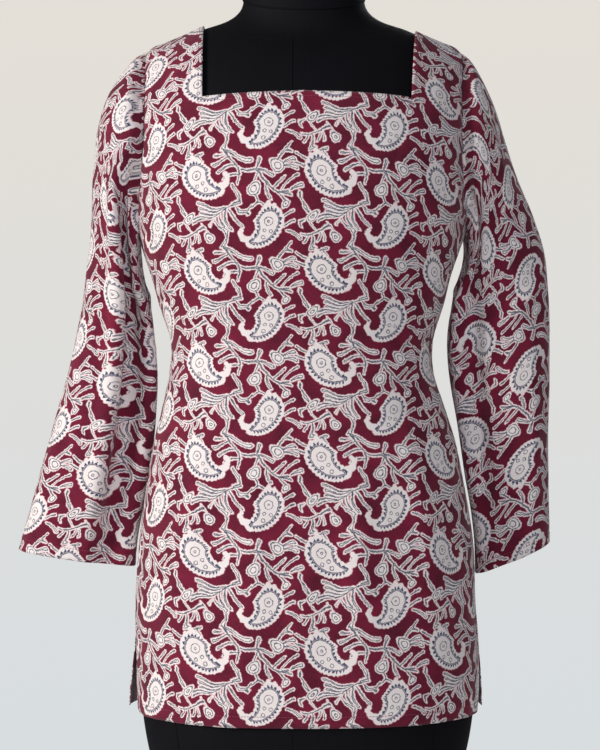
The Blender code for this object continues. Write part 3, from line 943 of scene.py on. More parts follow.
@dataclass
class DressForm:
    """The limbless form in stretched jersey: torso, flared neck and closed cap."""

    body: BodySurface
    ease: Table = Table(
        ("z", "ease"),
        (
            (0.160, 0.0030),
            (0.280, 0.0034),
            (0.400, 0.0034),
            (0.560, 0.0050),
            (0.640, 0.0050),
            (0.700, 0.0030),
            (0.760, 0.0027),
        ),
    )
    shoulder_ease: float = 0.0027
    shoulder_ease_rise: float = 0.25
    torso_divisions: int = 150
    side_divisions: int = 60
    neck_y: float = -0.008
    neck_ring_z: float = 0.998
    neck_tilt: float = 0.40
    neck_half_width: float = 0.0615
    neck_half_depth: float = 0.0480
    foot_half_width: float = 0.0920
    foot_half_depth: float = 0.0640
    foot_y: float = -0.002
    neck_divisions: int = 96
    seam_rows: int = 120
    seam_rise_rows: int = 70
    seam_radius: float = 0.0006
    ring_radius: float = 0.0010
    ring_lift: float = 0.0003
    seams: tuple[tuple[Face, float, float], ...] = (
        (Face.FRONT, -0.03, 0.80),
        (Face.FRONT, -0.52, 1.0),
        (Face.FRONT, 0.50, 1.0),
        (Face.BACK, 0.0, 0.80),
        (Face.BACK, -0.50, 1.0),
        (Face.BACK, 0.50, 1.0),
    )
    cap_height: float = 0.0540
    dome_height: float = 0.0022
    cap: Table = Table(
        ("rise", "half_width", "half_depth"),
        (
            (0.0000, 0.0615, 0.0480),
            (0.0250, 0.0590, 0.0465),
            (0.0440, 0.0580, 0.0455),
            (0.0510, 0.0555, 0.0435),
            (0.0540, 0.0500, 0.0390),
        ),
    )

    def torso_grid(self) -> Grid:
        """The torso's skin: front and back of the body's surface joined into closed rings."""
        lower = np.linspace(TORSO_BOTTOM_Z, UNDERARM_Z, self.torso_divisions)
        upper = np.linspace(0.0, 1.0, self.torso_divisions // 2)[1:]
        z = np.concatenate([lower, np.full(len(upper), UNDERARM_Z)])[:, None]
        rise = np.concatenate([np.zeros(len(lower)), upper])[:, None]
        ease = self.ease.at("ease", z)
        near = np.clip(rise / self.shoulder_ease_rise, 0.0, 1.0)
        inset = ease + (self.shoulder_ease - ease) * near
        turns = np.linspace(-1.0, 1.0, 2 * self.side_divisions + 1)
        front = self.body.at(turns, z, rise, Face.FRONT, inset)
        back = self.body.at(turns[::-1][1:-1], z, rise, Face.BACK, inset)
        points = np.concatenate([front, back], axis=1)
        low = points[:1].copy()
        middle = low.mean(axis=1, keepdims=True)
        shares = np.array([0.0, 0.5, 0.9, 0.985])[:, None, None]
        floor = middle + (low - middle) * shares
        return Grid(np.concatenate([floor, points]), closed=True, flip=False)

    def ring(self, half_width: np.ndarray, half_depth: np.ndarray, rise: np.ndarray) -> np.ndarray:
        """Ovals round the neck parallel to its tilted seam: y also lifts z by the tilt."""
        angles = np.arange(self.neck_divisions) * 2.0 * math.pi / self.neck_divisions
        x = half_width[:, None] * np.sin(angles)
        y = self.neck_y - half_depth[:, None] * np.cos(angles)
        z = self.neck_ring_z + self.neck_tilt * (y - self.neck_y) + rise[:, None]
        return np.stack([x, y, z], axis=-1)

    def neck_grid(self) -> Grid:
        """The neck's skin: Hermite curves from an oval on the torso up to the tilted seam.

        Each curve leaves along the torso's slope and arrives along the neck.
        """
        angles = np.arange(self.neck_divisions) * 2.0 * math.pi / self.neck_divisions
        foot_x = self.foot_half_width * np.sin(angles)
        foot_y = self.foot_y - self.foot_half_depth * np.cos(angles)
        foot_z = self.body.height_at(foot_x, foot_y, self.shoulder_ease)
        foot = np.stack([foot_x, foot_y, foot_z], axis=-1)
        head = self.ring(np.array([self.neck_half_width]), np.array([self.neck_half_depth]),
                         np.array([0.0]))[0]
        inner_x = foot_x * 0.96
        inner_y = self.foot_y + (foot_y - self.foot_y) * 0.96
        inner_z = self.body.height_at(inner_x, inner_y, self.shoulder_ease)
        slope = np.stack([inner_x, inner_y, inner_z], axis=-1) - foot
        slope = slope / np.linalg.norm(slope, axis=-1, keepdims=True)
        reach = np.linalg.norm(head - foot, axis=-1, keepdims=True)
        leave = slope * reach * 1.3
        arrive = np.array([0.0, 0.04, 1.0]) * reach * 1.1
        share = np.linspace(0.0, 1.0, 40)[:, None, None]
        start = foot * (1.0 + 2.0 * share) * (1.0 - share) ** 2
        end = head * share**2 * (3.0 - 2.0 * share)
        curve = start + end + leave * share * (1.0 - share) ** 2
        curve = curve + arrive * share**2 * (share - 1.0)
        curve[:, :, 2] += 0.0003 * bell(share[..., 0] - 0.5, 0.5)
        sunk = foot - np.array([0.0, 0.0, 0.0012])
        return Grid(np.concatenate([sunk[None], curve]), closed=True, flip=False)

    def cap_grid(self) -> Grid:
        """The closed cap above the neck's seam, with a softly rounded rim."""
        rise = np.linspace(0.0, self.cap_height, 36)
        rows = self.ring(self.cap.at("half_width", rise), self.cap.at("half_depth", rise), rise)
        last = rows[-1:]
        middle = last.mean(axis=1, keepdims=True)
        shares = np.array([0.93, 0.80, 0.55, 0.25, 0.0])[:, None, None]
        dome = middle + (last - middle) * shares
        dome[..., 2] += self.dome_height * (1.0 - shares[..., 0] ** 2)
        seam = rows[:1] * np.array([0.992, 1.0, 1.0]) - np.array([0.0, 0.0, 0.0006])
        return Grid(np.concatenate([seam, rows, dome]), closed=True, flip=False)

    def build(self, jersey: "BlackJersey") -> None:
        """Makes the skins and seams of the form.

        Args:
            jersey: The finish of the form.
        """
        for name, grid, node in (
            ("torso_skin", self.torso_grid(), "form_torso"),
            ("neck_skin", self.neck_grid(), None),
            ("neck_cap_skin", self.cap_grid(), "form_neck_cap"),
        ):
            quads = grid.quads().reshape(-1, 4)
            skin = mesh_of_quads(name, grid.points.reshape(-1, 3), quads)
            dress(skin, [jersey.material()])
            if node:
                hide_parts(node)
        dress(self.build_seams(), [jersey.material()])

    def build_seams(self) -> bpy.types.Object:
        """The raised seams: three up the front, three up the back, and the neck's ring.

        Each row of seams holds its side, its turn, and the share of the rise at which it ends.
        """
        lower = np.linspace(TORSO_BOTTOM_Z, UNDERARM_Z, self.seam_rows)
        z = np.concatenate([lower, np.full(self.seam_rise_rows, UNDERARM_Z)])
        upper = np.linspace(0.0, 1.0, self.seam_rise_rows + 1)[1:]
        rise = np.concatenate([np.zeros(self.seam_rows), upper])
        ease = self.ease.at("ease", z)
        near = np.clip(rise / self.shoulder_ease_rise, 0.0, 1.0)
        inset = ease + (self.shoulder_ease - ease) * near
        tubes = []
        for face, turn, last in self.seams:
            kept = rise <= last
            path = self.body.at(np.full(kept.sum(), turn), z[kept], rise[kept], face, inset[kept])
            tubes.append(tube_round(path, self.seam_radius, closed=False))
        ring = self.ring(np.array([self.neck_half_width]), np.array([self.neck_half_depth]),
                         np.array([self.ring_lift]))[0]
        tubes.append(tube_round(ring, self.ring_radius, closed=True))
        points = []
        quads = []
        start = 0
        for tube in tubes:
            points.append(tube.points.reshape(-1, 3))
            quads.append(tube.quads().reshape(-1, 4) + start)
            start += len(points[-1])
        return mesh_of_quads("form_seams", np.concatenate(points), np.concatenate(quads))


def tube_round(path: np.ndarray, radius: float, closed: bool, sides: int = 8) -> Grid:
    """A thin tube round a path: circles square to the path's direction.

    Args:
        path: Points of the middle line.
        radius: Radius of the tube.
        closed: Whether the path closes on itself.
        sides: Points in each circle.

    Returns:
        The tube's surface.
    """
    if closed:
        path = np.concatenate([path, path[:1]])
    ahead = np.gradient(path, axis=0)
    if closed:
        ahead[0] = ahead[-1] = path[1] - path[-2]
    ahead = ahead / np.linalg.norm(ahead, axis=-1, keepdims=True)
    outward = path * np.array([1.0, 1.0, 0.0]) + np.array([0.0, 0.0, 0.004])
    aside = np.cross(outward, ahead)
    aside = aside / np.linalg.norm(aside, axis=-1, keepdims=True)
    upward = np.cross(ahead, aside)
    around = np.arange(sides)[:, None] * 2.0 * math.pi / sides
    circle = aside[:, None] * np.cos(around) + upward[:, None] * np.sin(around)
    return Grid(path[:, None] + circle * radius, closed=True, flip=False)


def linear(code: str) -> tuple[float, float, float, float]:
    """Turns a colour written as six hexadecimal digits into linear red, green, blue and alpha."""
    parts = [int(code[place : place + 2], 16) / 255.0 for place in (1, 3, 5)]
    bright = [part / 12.92 if part <= 0.04045 else ((part + 0.055) / 1.055) ** 2.4 for part in parts]
    return (*bright, 1.0)


class ShaderChain:
    """Adds shader nodes to a tree one after another, each fed by numbers or earlier sockets."""

    def __init__(self, tree: bpy.types.NodeTree) -> None:
        """Keeps the tree."""
        self.tree = tree

    def node(self, kind: str, *values: "Socket | float | tuple", **settings: object) -> bpy.types.Node:
        """Adds a node.

        Args:
            kind: The node's type.
            values: What feeds its inputs in order. None leaves an input as it is.
            settings: Properties of the node.

        Returns:
            The node.
        """
        made = self.tree.nodes.new(kind)
        for name, value in settings.items():
            setattr(made, name, value)
        for socket, value in zip(made.inputs, values):
            if isinstance(value, bpy.types.NodeSocket):
                self.tree.links.new(value, socket)
            elif value is not None:
                socket.default_value = value
        return made

    def math(self, operation: str, *values: "Socket | float", clamp: bool = False) -> Socket:
        """One sum on numbers."""
        return self.node("ShaderNodeMath", *values, operation=operation, use_clamp=clamp).outputs[0]

    def vector(self, operation: str, *values: "Socket | tuple") -> Socket:
        """One sum on vectors, whose result is a vector or, for a length or dot product, a number."""
        made = self.node("ShaderNodeVectorMath", *values, operation=operation)
        gives_number = operation in ("LENGTH", "DOT_PRODUCT", "DISTANCE")
        return made.outputs["Value" if gives_number else "Vector"]

    def scaled(self, vector: "Socket | tuple", scale: Socket) -> Socket:
        """A vector times a number."""
        made = self.node("ShaderNodeVectorMath", vector, operation="SCALE")
        self.tree.links.new(scale, made.inputs["Scale"])
        return made.outputs["Vector"]

    def mix(self, share: "Socket | float", first: "Socket | tuple",
            second: "Socket | tuple") -> Socket:
        """Mixes two colours."""
        made = self.tree.nodes.new("ShaderNodeMix")
        made.data_type = "RGBA"
        for socket, value in ((made.inputs[0], share), (made.inputs[6], first), (made.inputs[7], second)):
            if isinstance(value, bpy.types.NodeSocket):
                self.tree.links.new(value, socket)
            else:
                socket.default_value = value
        return made.outputs[2]

    def noise(self, place: Socket, scale: float, detail: float = 2.0) -> Socket:
        """Noise from 0 to 1 at a place."""
        made = self.node("ShaderNodeTexNoise", place)
        made.inputs["Scale"].default_value = scale
        made.inputs["Detail"].default_value = detail
        return made.outputs["Fac"]

    def inside(self, distance: Socket, softness: float) -> Socket:
        """A mask from a distance: 1 inside, 0 outside, over a soft edge."""
        return self.math("MULTIPLY_ADD", distance, -1.0 / softness, 0.5, clamp=True)


class Finish:
    """A new material on the principled shader, with the chain of nodes that feeds it."""

    def __init__(self, name: str) -> None:
        """Makes the material."""
        self.made = bpy.data.materials.new(name)
        self.made.use_nodes = True
        self.chain = ShaderChain(self.made.node_tree)
        self.shader = self.made.node_tree.nodes["Principled BSDF"]

    def feed(self, name: str, source: Socket) -> None:
        """Links a socket to one of the shader's inputs."""
        self.made.node_tree.links.new(source, self.shader.inputs[name])

    def keep(self, name: str, value: float) -> None:
        """Sets one of the shader's own values."""
        self.shader.inputs[name].default_value = value

    def relief(self, height: Socket, strength: float, depth: float) -> None:
        """Bumps the surface by a height, where 1 is the depth in metres."""
        bump = self.chain.node("ShaderNodeBump")
        bump.inputs["Strength"].default_value = strength
        bump.inputs["Distance"].default_value = depth
        self.made.node_tree.links.new(height, bump.inputs["Height"])
        self.feed("Normal", bump.outputs[0])


@dataclass(frozen=True)
class Stroke:
    """A tapered round-ended stroke of resist in the print, in millimetres."""

    x0: float
    y0: float
    x1: float
    y1: float
    r0: float
    r1: float

    def distance(self, chain: ShaderChain, place: Socket) -> Socket:
        """Distance to the stroke's edge.

        The place is projected on the stroke's middle line and clamped to its ends. The distance
        to that point is reduced by a radius that runs evenly from one end's to the other's.
        """
        span = (self.x1 - self.x0, self.y1 - self.y0, 0.0)
        square = max(span[0] ** 2 + span[1] ** 2, 1e-6)
        aim = (span[0] / square, span[1] / square, 0.0)
        away = (-span[0], -span[1], 0.0)
        local = chain.vector("SUBTRACT", place, (self.x0, self.y0, 0.0))
        share = chain.node("ShaderNodeClamp", chain.vector("DOT_PRODUCT", local, aim)).outputs[0]
        rest = chain.vector("ADD", chain.scaled(away, share), local)
        length = chain.vector("LENGTH", rest)
        tapered = chain.math("MULTIPLY_ADD", share, self.r0 - self.r1, length)
        return chain.math("SUBTRACT", tapered, self.r0)


@dataclass(frozen=True)
class Bud:
    """A round bud or flower head of resist in the print, in millimetres."""

    x: float
    y: float
    radius: float

    def distance(self, chain: ShaderChain, place: Socket) -> Socket:
        """Distance to the bud's edge: the distance to its middle less its radius."""
        middle = (self.x, self.y, 0.0)
        return chain.math("SUBTRACT", chain.vector("DISTANCE", place, middle), self.radius)


FAN_AND_FERN = (
    Stroke(31, -27, 10, -37, 1.6, 1.4),
    Stroke(24, -29, -4, -24, 1.3, 2.2),
    Stroke(24, -30, -2, -29, 1.2, 2.2),
    Stroke(20, -32, 0, -33.5, 1.2, 2.1),
    Stroke(14, -35, -5, -38, 1.3, 1.9),
    Stroke(10, -37, -5, -42, 1.2, 1.8),
    Stroke(24, -31, 31, -50, 1.5, 2.3),
    Stroke(27, -31, 43, -44, 1.4, 2.3),
    Stroke(20, -33, 26, -47, 1.2, 2.0),
    Stroke(17, -36, 11, -44, 1.0, 1.2),
    Stroke(33, -27, 39, -31, 1.3, 2.4),
    Stroke(39, -31, 46, -30, 2.6, 2.2),
    Stroke(46, -30, 49, -26.5, 1.9, 1.6),
    Stroke(46, -31, 49, -33.5, 1.9, 1.6),
    Stroke(34, -8, 39, -14, 1.8, 2.6),
    Stroke(39, -14, 38, -23, 2.4, 1.5),
    Stroke(31, -26, 38, -22, 2.0, 2.2),
    Bud(7.3, -55.5, 5.4),
    Stroke(7.3, -51, 3.5, -44, 1.2, 1.1),
    Stroke(27, 24, 50, 16, 1.9, 3.0),
    Stroke(27, 24, 36, 10, 1.6, 2.0),
    Stroke(36, 10, 39, -6, 2.0, 1.4),
    Stroke(26, 21, 17, 23.5, 1.1, 2.1),
    Stroke(32, 18, 13.5, 14.5, 1.3, 2.3),
    Stroke(35, 11, 16.5, 7, 1.2, 2.2),
    Stroke(38.5, 4, 24, -1, 1.2, 2.2),
    Stroke(-26, 19.5, -13, 15, 1.5, 2.3),
    Stroke(-30, 10.5, -17, 9.5, 1.4, 2.2),
    Stroke(-31, -14.5, -21, -8, 1.6, 2.6),
)

VINE_AND_BERRY = (
    Stroke(30, -5, 50, -3, 1.4, 1.6),
    Stroke(50, -3, 60, 2, 1.6, 1.8),
    Stroke(36, -5, 33.5, -12, 1.2, 1.8),
    Stroke(40, -5, 42.5, -18, 1.3, 2.3),
    Stroke(43, -17, 46.5, -19, 2.3, 1.7),
    Stroke(48, -5, 46, -12, 1.2, 1.7),
    Stroke(50.5, -5, 52, -13, 1.1, 1.5),
    Stroke(-50.5, 11.5, -46.5, 4, 1.2, 1.6),
    Stroke(-46, 3, -41, -3, 2.2, 2.8),
    Stroke(-42, -3, -42.5, -10, 2.6, 1.6),
    Stroke(-42.5, -11, -44, -15.5, 1.8, 2.8),
    Stroke(-44, -15, -40, -21, 2.4, 1.6),
    Stroke(16, 12, 23, 15, 1.6, 2.0),
    Stroke(16, 2, 27, 6, 1.5, 1.7),
    Stroke(17, -3, 28, -9, 1.7, 2.5),
    Stroke(32, 34, 29.5, 29, 1.6, 1.6),
    Stroke(29.5, 29, 33, 22, 1.4, 2.2),
    Stroke(33, 22, 39, 17, 2.4, 1.6),
    Bud(43.8, 12.6, 5.5),
    Stroke(37, 10, 32.5, 6.5, 1.2, 1.7),
    Stroke(32.5, 6.5, 32, 2, 1.7, 1.5),
    Stroke(42, 7, 44.5, -1, 1.3, 1.1),
    Stroke(49.5, -22.5, 57.5, -20.5, 1.8, 2.2),
    Stroke(54, -22, 58.5, -27.5, 1.6, 1.2),
)

BRANCH_AND_FLOWERS = (
    Stroke(-38, 10.5, -23, 7, 1.6, 2.0),
    Stroke(-23, 7, -7, 4, 1.6, 2.6),
    Stroke(-23, 8, -16.5, 16.5, 1.5, 2.3),
    Stroke(-23, 7, -16.5, -1, 2.0, 1.7),
    Stroke(-16.5, -1, -8.5, -5, 1.7, 1.9),
    Stroke(-8.5, -5, 1, -11, 1.9, 1.7),
    Stroke(1, -11, 11, -13.5, 1.7, 1.9),
    Stroke(-3, -8, 4.5, 0, 1.3, 2.3),
    Stroke(5, -10, 17, 2, 1.2, 1.8),
    Stroke(-9.5, -5, -9, -17, 1.3, 2.4),
    Stroke(1, -11, 5, -21, 1.4, 1.8),
    Bud(5, -24, 4.2),
    Stroke(1, -11, 12, -17, 1.2, 2.0),
    Bud(-21.4, -10, 7.0),
    Stroke(-22, -3, -22, 3, 1.3, 1.6),
    Stroke(-21.4, -17, -21.4, -23, 1.7, 1.4),
    Stroke(-21.4, -23, -27, -26, 1.6, 1.5),
    Stroke(-21.4, -23, -16, -25.5, 1.6, 1.5),
    Bud(-2, 12.8, 7.2),
    Stroke(4, 14, 16, 15.5, 1.7, 2.6),
    Stroke(4, 11, 15, 8, 1.7, 2.6),
    Stroke(1, 19, 9, 26, 1.5, 2.4),
    Stroke(9, 26, 11, 31, 2.0, 1.5),
    Stroke(9, 25, 15, 22, 2.0, 1.5),
    Stroke(-44, 22.5, -25, 17.5, 1.6, 2.6),
)

TAIL_AND_CROWN = (
    Stroke(-15, -11.5, -24, -9.5, 3.9, 2.7),
    Stroke(-24, -9.5, -27.5, -4, 2.7, 2.0),
    Stroke(-27.5, -4, -25.5, -1, 2.0, 1.9),
    Stroke(-2, 20, 0.5, 25, 2.4, 1.7),
    Stroke(4, 20, 6, 22.5, 2.4, 1.5),
)


@dataclass(frozen=True)
class BlockPrint:
    """A half-drop paisley block print on a repeat of width by height, in millimetres of cloth.

    Two paisleys that lean to unlike sides stand at the places of each repeat, with a fern and
    fan, a vine with a berry, and a flowering branch between them.
    """

    width: float = 122.0
    height: float = 92.5
    fan_place: Point = (-67.1, -43.8)
    branch_place: Point = (9.7, -45.7)
    spine_middle: Point = (-19.5, 7.0)
    spine_radius: float = 20.0
    spine_turn: float = 1.40
    second_shift: Point = (-1.5, -2.5)
    second_turn: float = -16.0
    second_scale: Point = (-0.94, 0.92)
    shake: float = 2.6
    shake_rate: float = 0.42
    sway: Point = (2.3, 1.8)
    inner_rings: tuple[tuple[float, float, float], ...] = (
        (0.5, 7.0, 4.1), (0.5, 7.0, 1.0), (-3.6, -1.6, 1.5), (2.6, -2.6, 1.5), (-4.8, -8.2, 1.7),
    )
    head_radius: float = 9.6
    band: float = 4.7
    scallop: float = 0.8
    tooth_pitch: float = 1.75
    tooth_start: float = 0.7
    tooth_height: float = 2.9
    spread: float = 0.15
    join: float = 0.8
    edge: float = 0.45
    line_depth: float = 1.55
    line_width: float = 0.42
    ground: str = "#7b1a38"
    ground_deep: str = "#521127"
    cream: str = "#ece7e4"
    halo: str = "#d9aeb4"
    line: str = "#3b4158"
    navy: str = "#19295a"

    def window(self, chain: ShaderChain, place: Socket, origin: Point,
               low: Point | None = None) -> Socket:
        """The place within one repeat round an origin.

        Args:
            chain: The chain of nodes.
            place: The place on the cloth.
            origin: The origin of the repeat.
            low: Lowest corner of the repeat, or half of it below and left of the origin.

        Returns:
            The place from the origin.
        """
        low = low or (-self.width / 2.0, -self.height / 2.0)
        high = (low[0] + self.width, low[1] + self.height, 1.0)
        local = chain.vector("SUBTRACT", place, (origin[0], origin[1], 0.0))
        return chain.vector("WRAP", local, high, (low[0], low[1], -1.0))

    def nearest(self, chain: ShaderChain, place: Socket) -> Socket:
        """Nearness to the middle of a repeat: the sum of the two shares of its sides."""
        size = chain.vector("ABSOLUTE", place)
        return chain.vector("DOT_PRODUCT", size, (1.0 / self.width, 1.0 / self.height, 0.0))

    def paisley_place(self, chain: ShaderChain, place: Socket) -> Socket:
        """The place from the nearer of the two paisleys, with the second one mirrored."""
        upright = self.window(chain, place, (0.0, 0.0))
        upright_near = self.nearest(chain, upright)
        leaning = self.window(chain, place, self.fan_place)
        leaning_near = self.nearest(chain, leaning)
        choice = chain.math("LESS_THAN", leaning_near, upright_near)
        moved = chain.vector("SUBTRACT", leaning, (*self.second_shift, 0.0))
        turned = chain.node("ShaderNodeVectorRotate", moved, rotation_type="Z_AXIS")
        turned.inputs["Angle"].default_value = math.radians(self.second_turn)
        mirrored = chain.vector("MULTIPLY", turned.outputs[0], (*self.second_scale, 1.0))
        difference = chain.vector("SUBTRACT", mirrored, upright)
        return chain.vector("ADD", chain.scaled(difference, choice), upright)

    def shortest(self, chain: ShaderChain, place: Socket, strokes: Sequence["Stroke | Bud"],
                 found: Socket | None, join: float) -> Socket:
        """The smooth least of the distances to several strokes and to what was found before."""
        for stroke in strokes:
            distance = stroke.distance(chain, place)
            if found is None:
                found = distance
            else:
                found = chain.math("SMOOTH_MIN", found, distance, join)
        return found

    def group(self) -> bpy.types.NodeTree:
        """Makes the node group: a place in millimetres goes in and the print's colour comes out.

        The body of a paisley is the distance to an arc less a radius that falls to nothing along
        it. Bands, scallops and teeth are steps of that distance, and a second coordinate runs
        round its outline.

        Returns:
            The group.
        """
        tree = bpy.data.node_groups.new("block_print", "ShaderNodeTree")
        tree.interface.new_socket("Place", in_out="INPUT", socket_type="NodeSocketVector")
        tree.interface.new_socket("Colour", in_out="OUTPUT", socket_type="NodeSocketColor")
        chain = ShaderChain(tree)
        start = chain.node("NodeGroupInput").outputs["Place"]

        shake_u = chain.math("SUBTRACT", chain.noise(start, self.shake_rate), 0.5)
        beside = chain.vector("ADD", start, (311.0, 97.0, 0.0))
        shake_v = chain.math("SUBTRACT", chain.noise(beside, self.shake_rate), 0.5)
        shaky = chain.node("ShaderNodeCombineXYZ", shake_u, shake_v, 0.0).outputs[0]
        place = chain.vector("MULTIPLY_ADD", shaky, (self.shake, self.shake, 0.0), start)

        up = (0.0, 6.0 * math.pi / self.height, 0.0)
        right = (8.0 * math.pi / self.width, 0.0, 0.0)
        sway_v = chain.math("SINE", chain.vector("DOT_PRODUCT", place, up))
        sway_u = chain.math("SINE", chain.vector("DOT_PRODUCT", place, right))
        sway = chain.node("ShaderNodeCombineXYZ", sway_v, sway_u, 0.0).outputs[0]
        bent = chain.vector("MULTIPLY_ADD", sway, (*self.sway, 0.0), place)
        fan = self.window(chain, bent, self.fan_place, (-37.0, -62.0))
        leaves = self.shortest(chain, fan, FAN_AND_FERN, None, self.join)
        vine = self.window(chain, bent, (0.0, 0.0), (-55.0, -self.height / 2.0))
        leaves = self.shortest(chain, vine, VINE_AND_BERRY, leaves, self.join)
        branch = self.window(chain, bent, self.branch_place)
        leaves = self.shortest(chain, branch, BRANCH_AND_FLOWERS, leaves, self.join)
        leaves = chain.math("SUBTRACT", leaves, self.spread)

        local = self.paisley_place(chain, place)
        spine = chain.vector("SUBTRACT", local, (self.spine_middle[0], self.spine_middle[1], 0.0))
        parts = chain.node("ShaderNodeSeparateXYZ", spine)
        down = chain.math("MULTIPLY", parts.outputs[1], -1.0)
        angle = chain.math("ARCTAN2", down, parts.outputs[0])
        held = chain.math("MINIMUM", chain.math("MAXIMUM", angle, 0.0), self.spine_turn)
        past = chain.math("MULTIPLY", chain.math("SUBTRACT", angle, held), self.spine_radius)
        aside = chain.math("SUBTRACT", chain.vector("LENGTH", spine), self.spine_radius)
        away = chain.vector("LENGTH", chain.node("ShaderNodeCombineXYZ", past, aside, 0.0).outputs[0])
        left = chain.math("MULTIPLY_ADD", held, -1.0 / self.spine_turn, 1.0)
        radius = chain.math("MULTIPLY", chain.math("POWER", left, 0.8), self.head_radius)
        drop = chain.math("SUBTRACT", away, radius)

        above = chain.math("MAXIMUM", chain.math("MULTIPLY", past, -1.0), 0.0)
        over = chain.math("MULTIPLY", chain.math("ARCTAN2", above, aside), self.head_radius + 2.5)
        pace = chain.math("MULTIPLY_ADD", chain.math("SIGN", aside), -self.spine_radius, -8.0)
        contour = chain.math("MULTIPLY_ADD", held, pace, over)

        wave = chain.math("ABSOLUTE", chain.math("SINE", chain.math("MULTIPLY", contour, math.pi / 3.7)))
        outer = chain.math("MULTIPLY_ADD", wave, -self.scallop, drop)
        outer = chain.math("SUBTRACT", outer, self.band)
        outer = self.shortest(chain, local, TAIL_AND_CROWN, outer, 1.2)
        outer = chain.math("SUBTRACT", outer, self.spread)

        cream = chain.math("MINIMUM", outer, leaves)
        outline = chain.math("SUBTRACT", chain.math("ABSOLUTE", drop), self.line_width)
        for x, y, size in self.inner_rings:
            ring = chain.math("SUBTRACT", chain.vector("DISTANCE", local, (x, y, 0.0)), size)
            ring = chain.math("SUBTRACT", chain.math("ABSOLUTE", ring), self.line_width * 0.8)
            outline = chain.math("MINIMUM", outline, ring)
        deeper = chain.math("ADD", leaves, self.line_depth)
        ringed = chain.math("ADD", leaves, self.line_depth + 2.7)
        contour_line = chain.math("MINIMUM", chain.math("ABSOLUTE", deeper),
                                  chain.math("ABSOLUTE", ringed))
        contour_line = chain.math("SUBTRACT", contour_line, self.line_width)
        covered = chain.math("MULTIPLY", outer, -1.0)
        contour_line = chain.math("MAXIMUM", contour_line, covered)
        outline = chain.math("MINIMUM", outline, contour_line)

        beat = chain.math("PINGPONG", contour, self.tooth_pitch)
        reach = chain.math("MULTIPLY_ADD", beat, -self.tooth_height / self.tooth_pitch, drop)
        tooth = chain.math("SUBTRACT", reach, self.tooth_start)
        base = chain.math("SUBTRACT", self.tooth_start, drop)
        tooth = chain.math("MAXIMUM", tooth, base)

        dye = chain.noise(start, 0.035, 3.0)
        grain = chain.noise(chain.vector("MULTIPLY", start, (1.0, 0.16, 0.0)), 1.6, 2.0)
        dye = chain.math("MULTIPLY_ADD", chain.math("SUBTRACT", grain, 0.5), 0.7, dye)
        colour = chain.mix(chain.math("MULTIPLY_ADD", dye, 2.2, -0.6, clamp=True),
                           linear(self.ground), linear(self.ground_deep))
        fringe = chain.math("SUBTRACT", cream, 0.30)
        colour = chain.mix(chain.inside(fringe, self.edge), colour, linear(self.halo))
        whole = chain.math("ADD", cream, 0.18)
        colour = chain.mix(chain.inside(whole, self.edge), colour, linear(self.cream))
        ink = chain.math("MULTIPLY_ADD", grain, 0.5, 0.68, clamp=True)
        drawn = chain.math("MULTIPLY", chain.inside(outline, self.edge), ink)
        colour = chain.mix(drawn, colour, linear(self.line))
        bitten = chain.math("MULTIPLY", chain.inside(tooth, self.edge), ink)
        colour = chain.mix(bitten, colour, linear(self.navy))
        chain.node("NodeGroupOutput", colour)
        return tree


@dataclass(frozen=True)
class Lay:
    """How the print lies on a piece: what is added to its place in millimetres, and its turn."""

    across: float
    along: float
    turn: float = 0.0


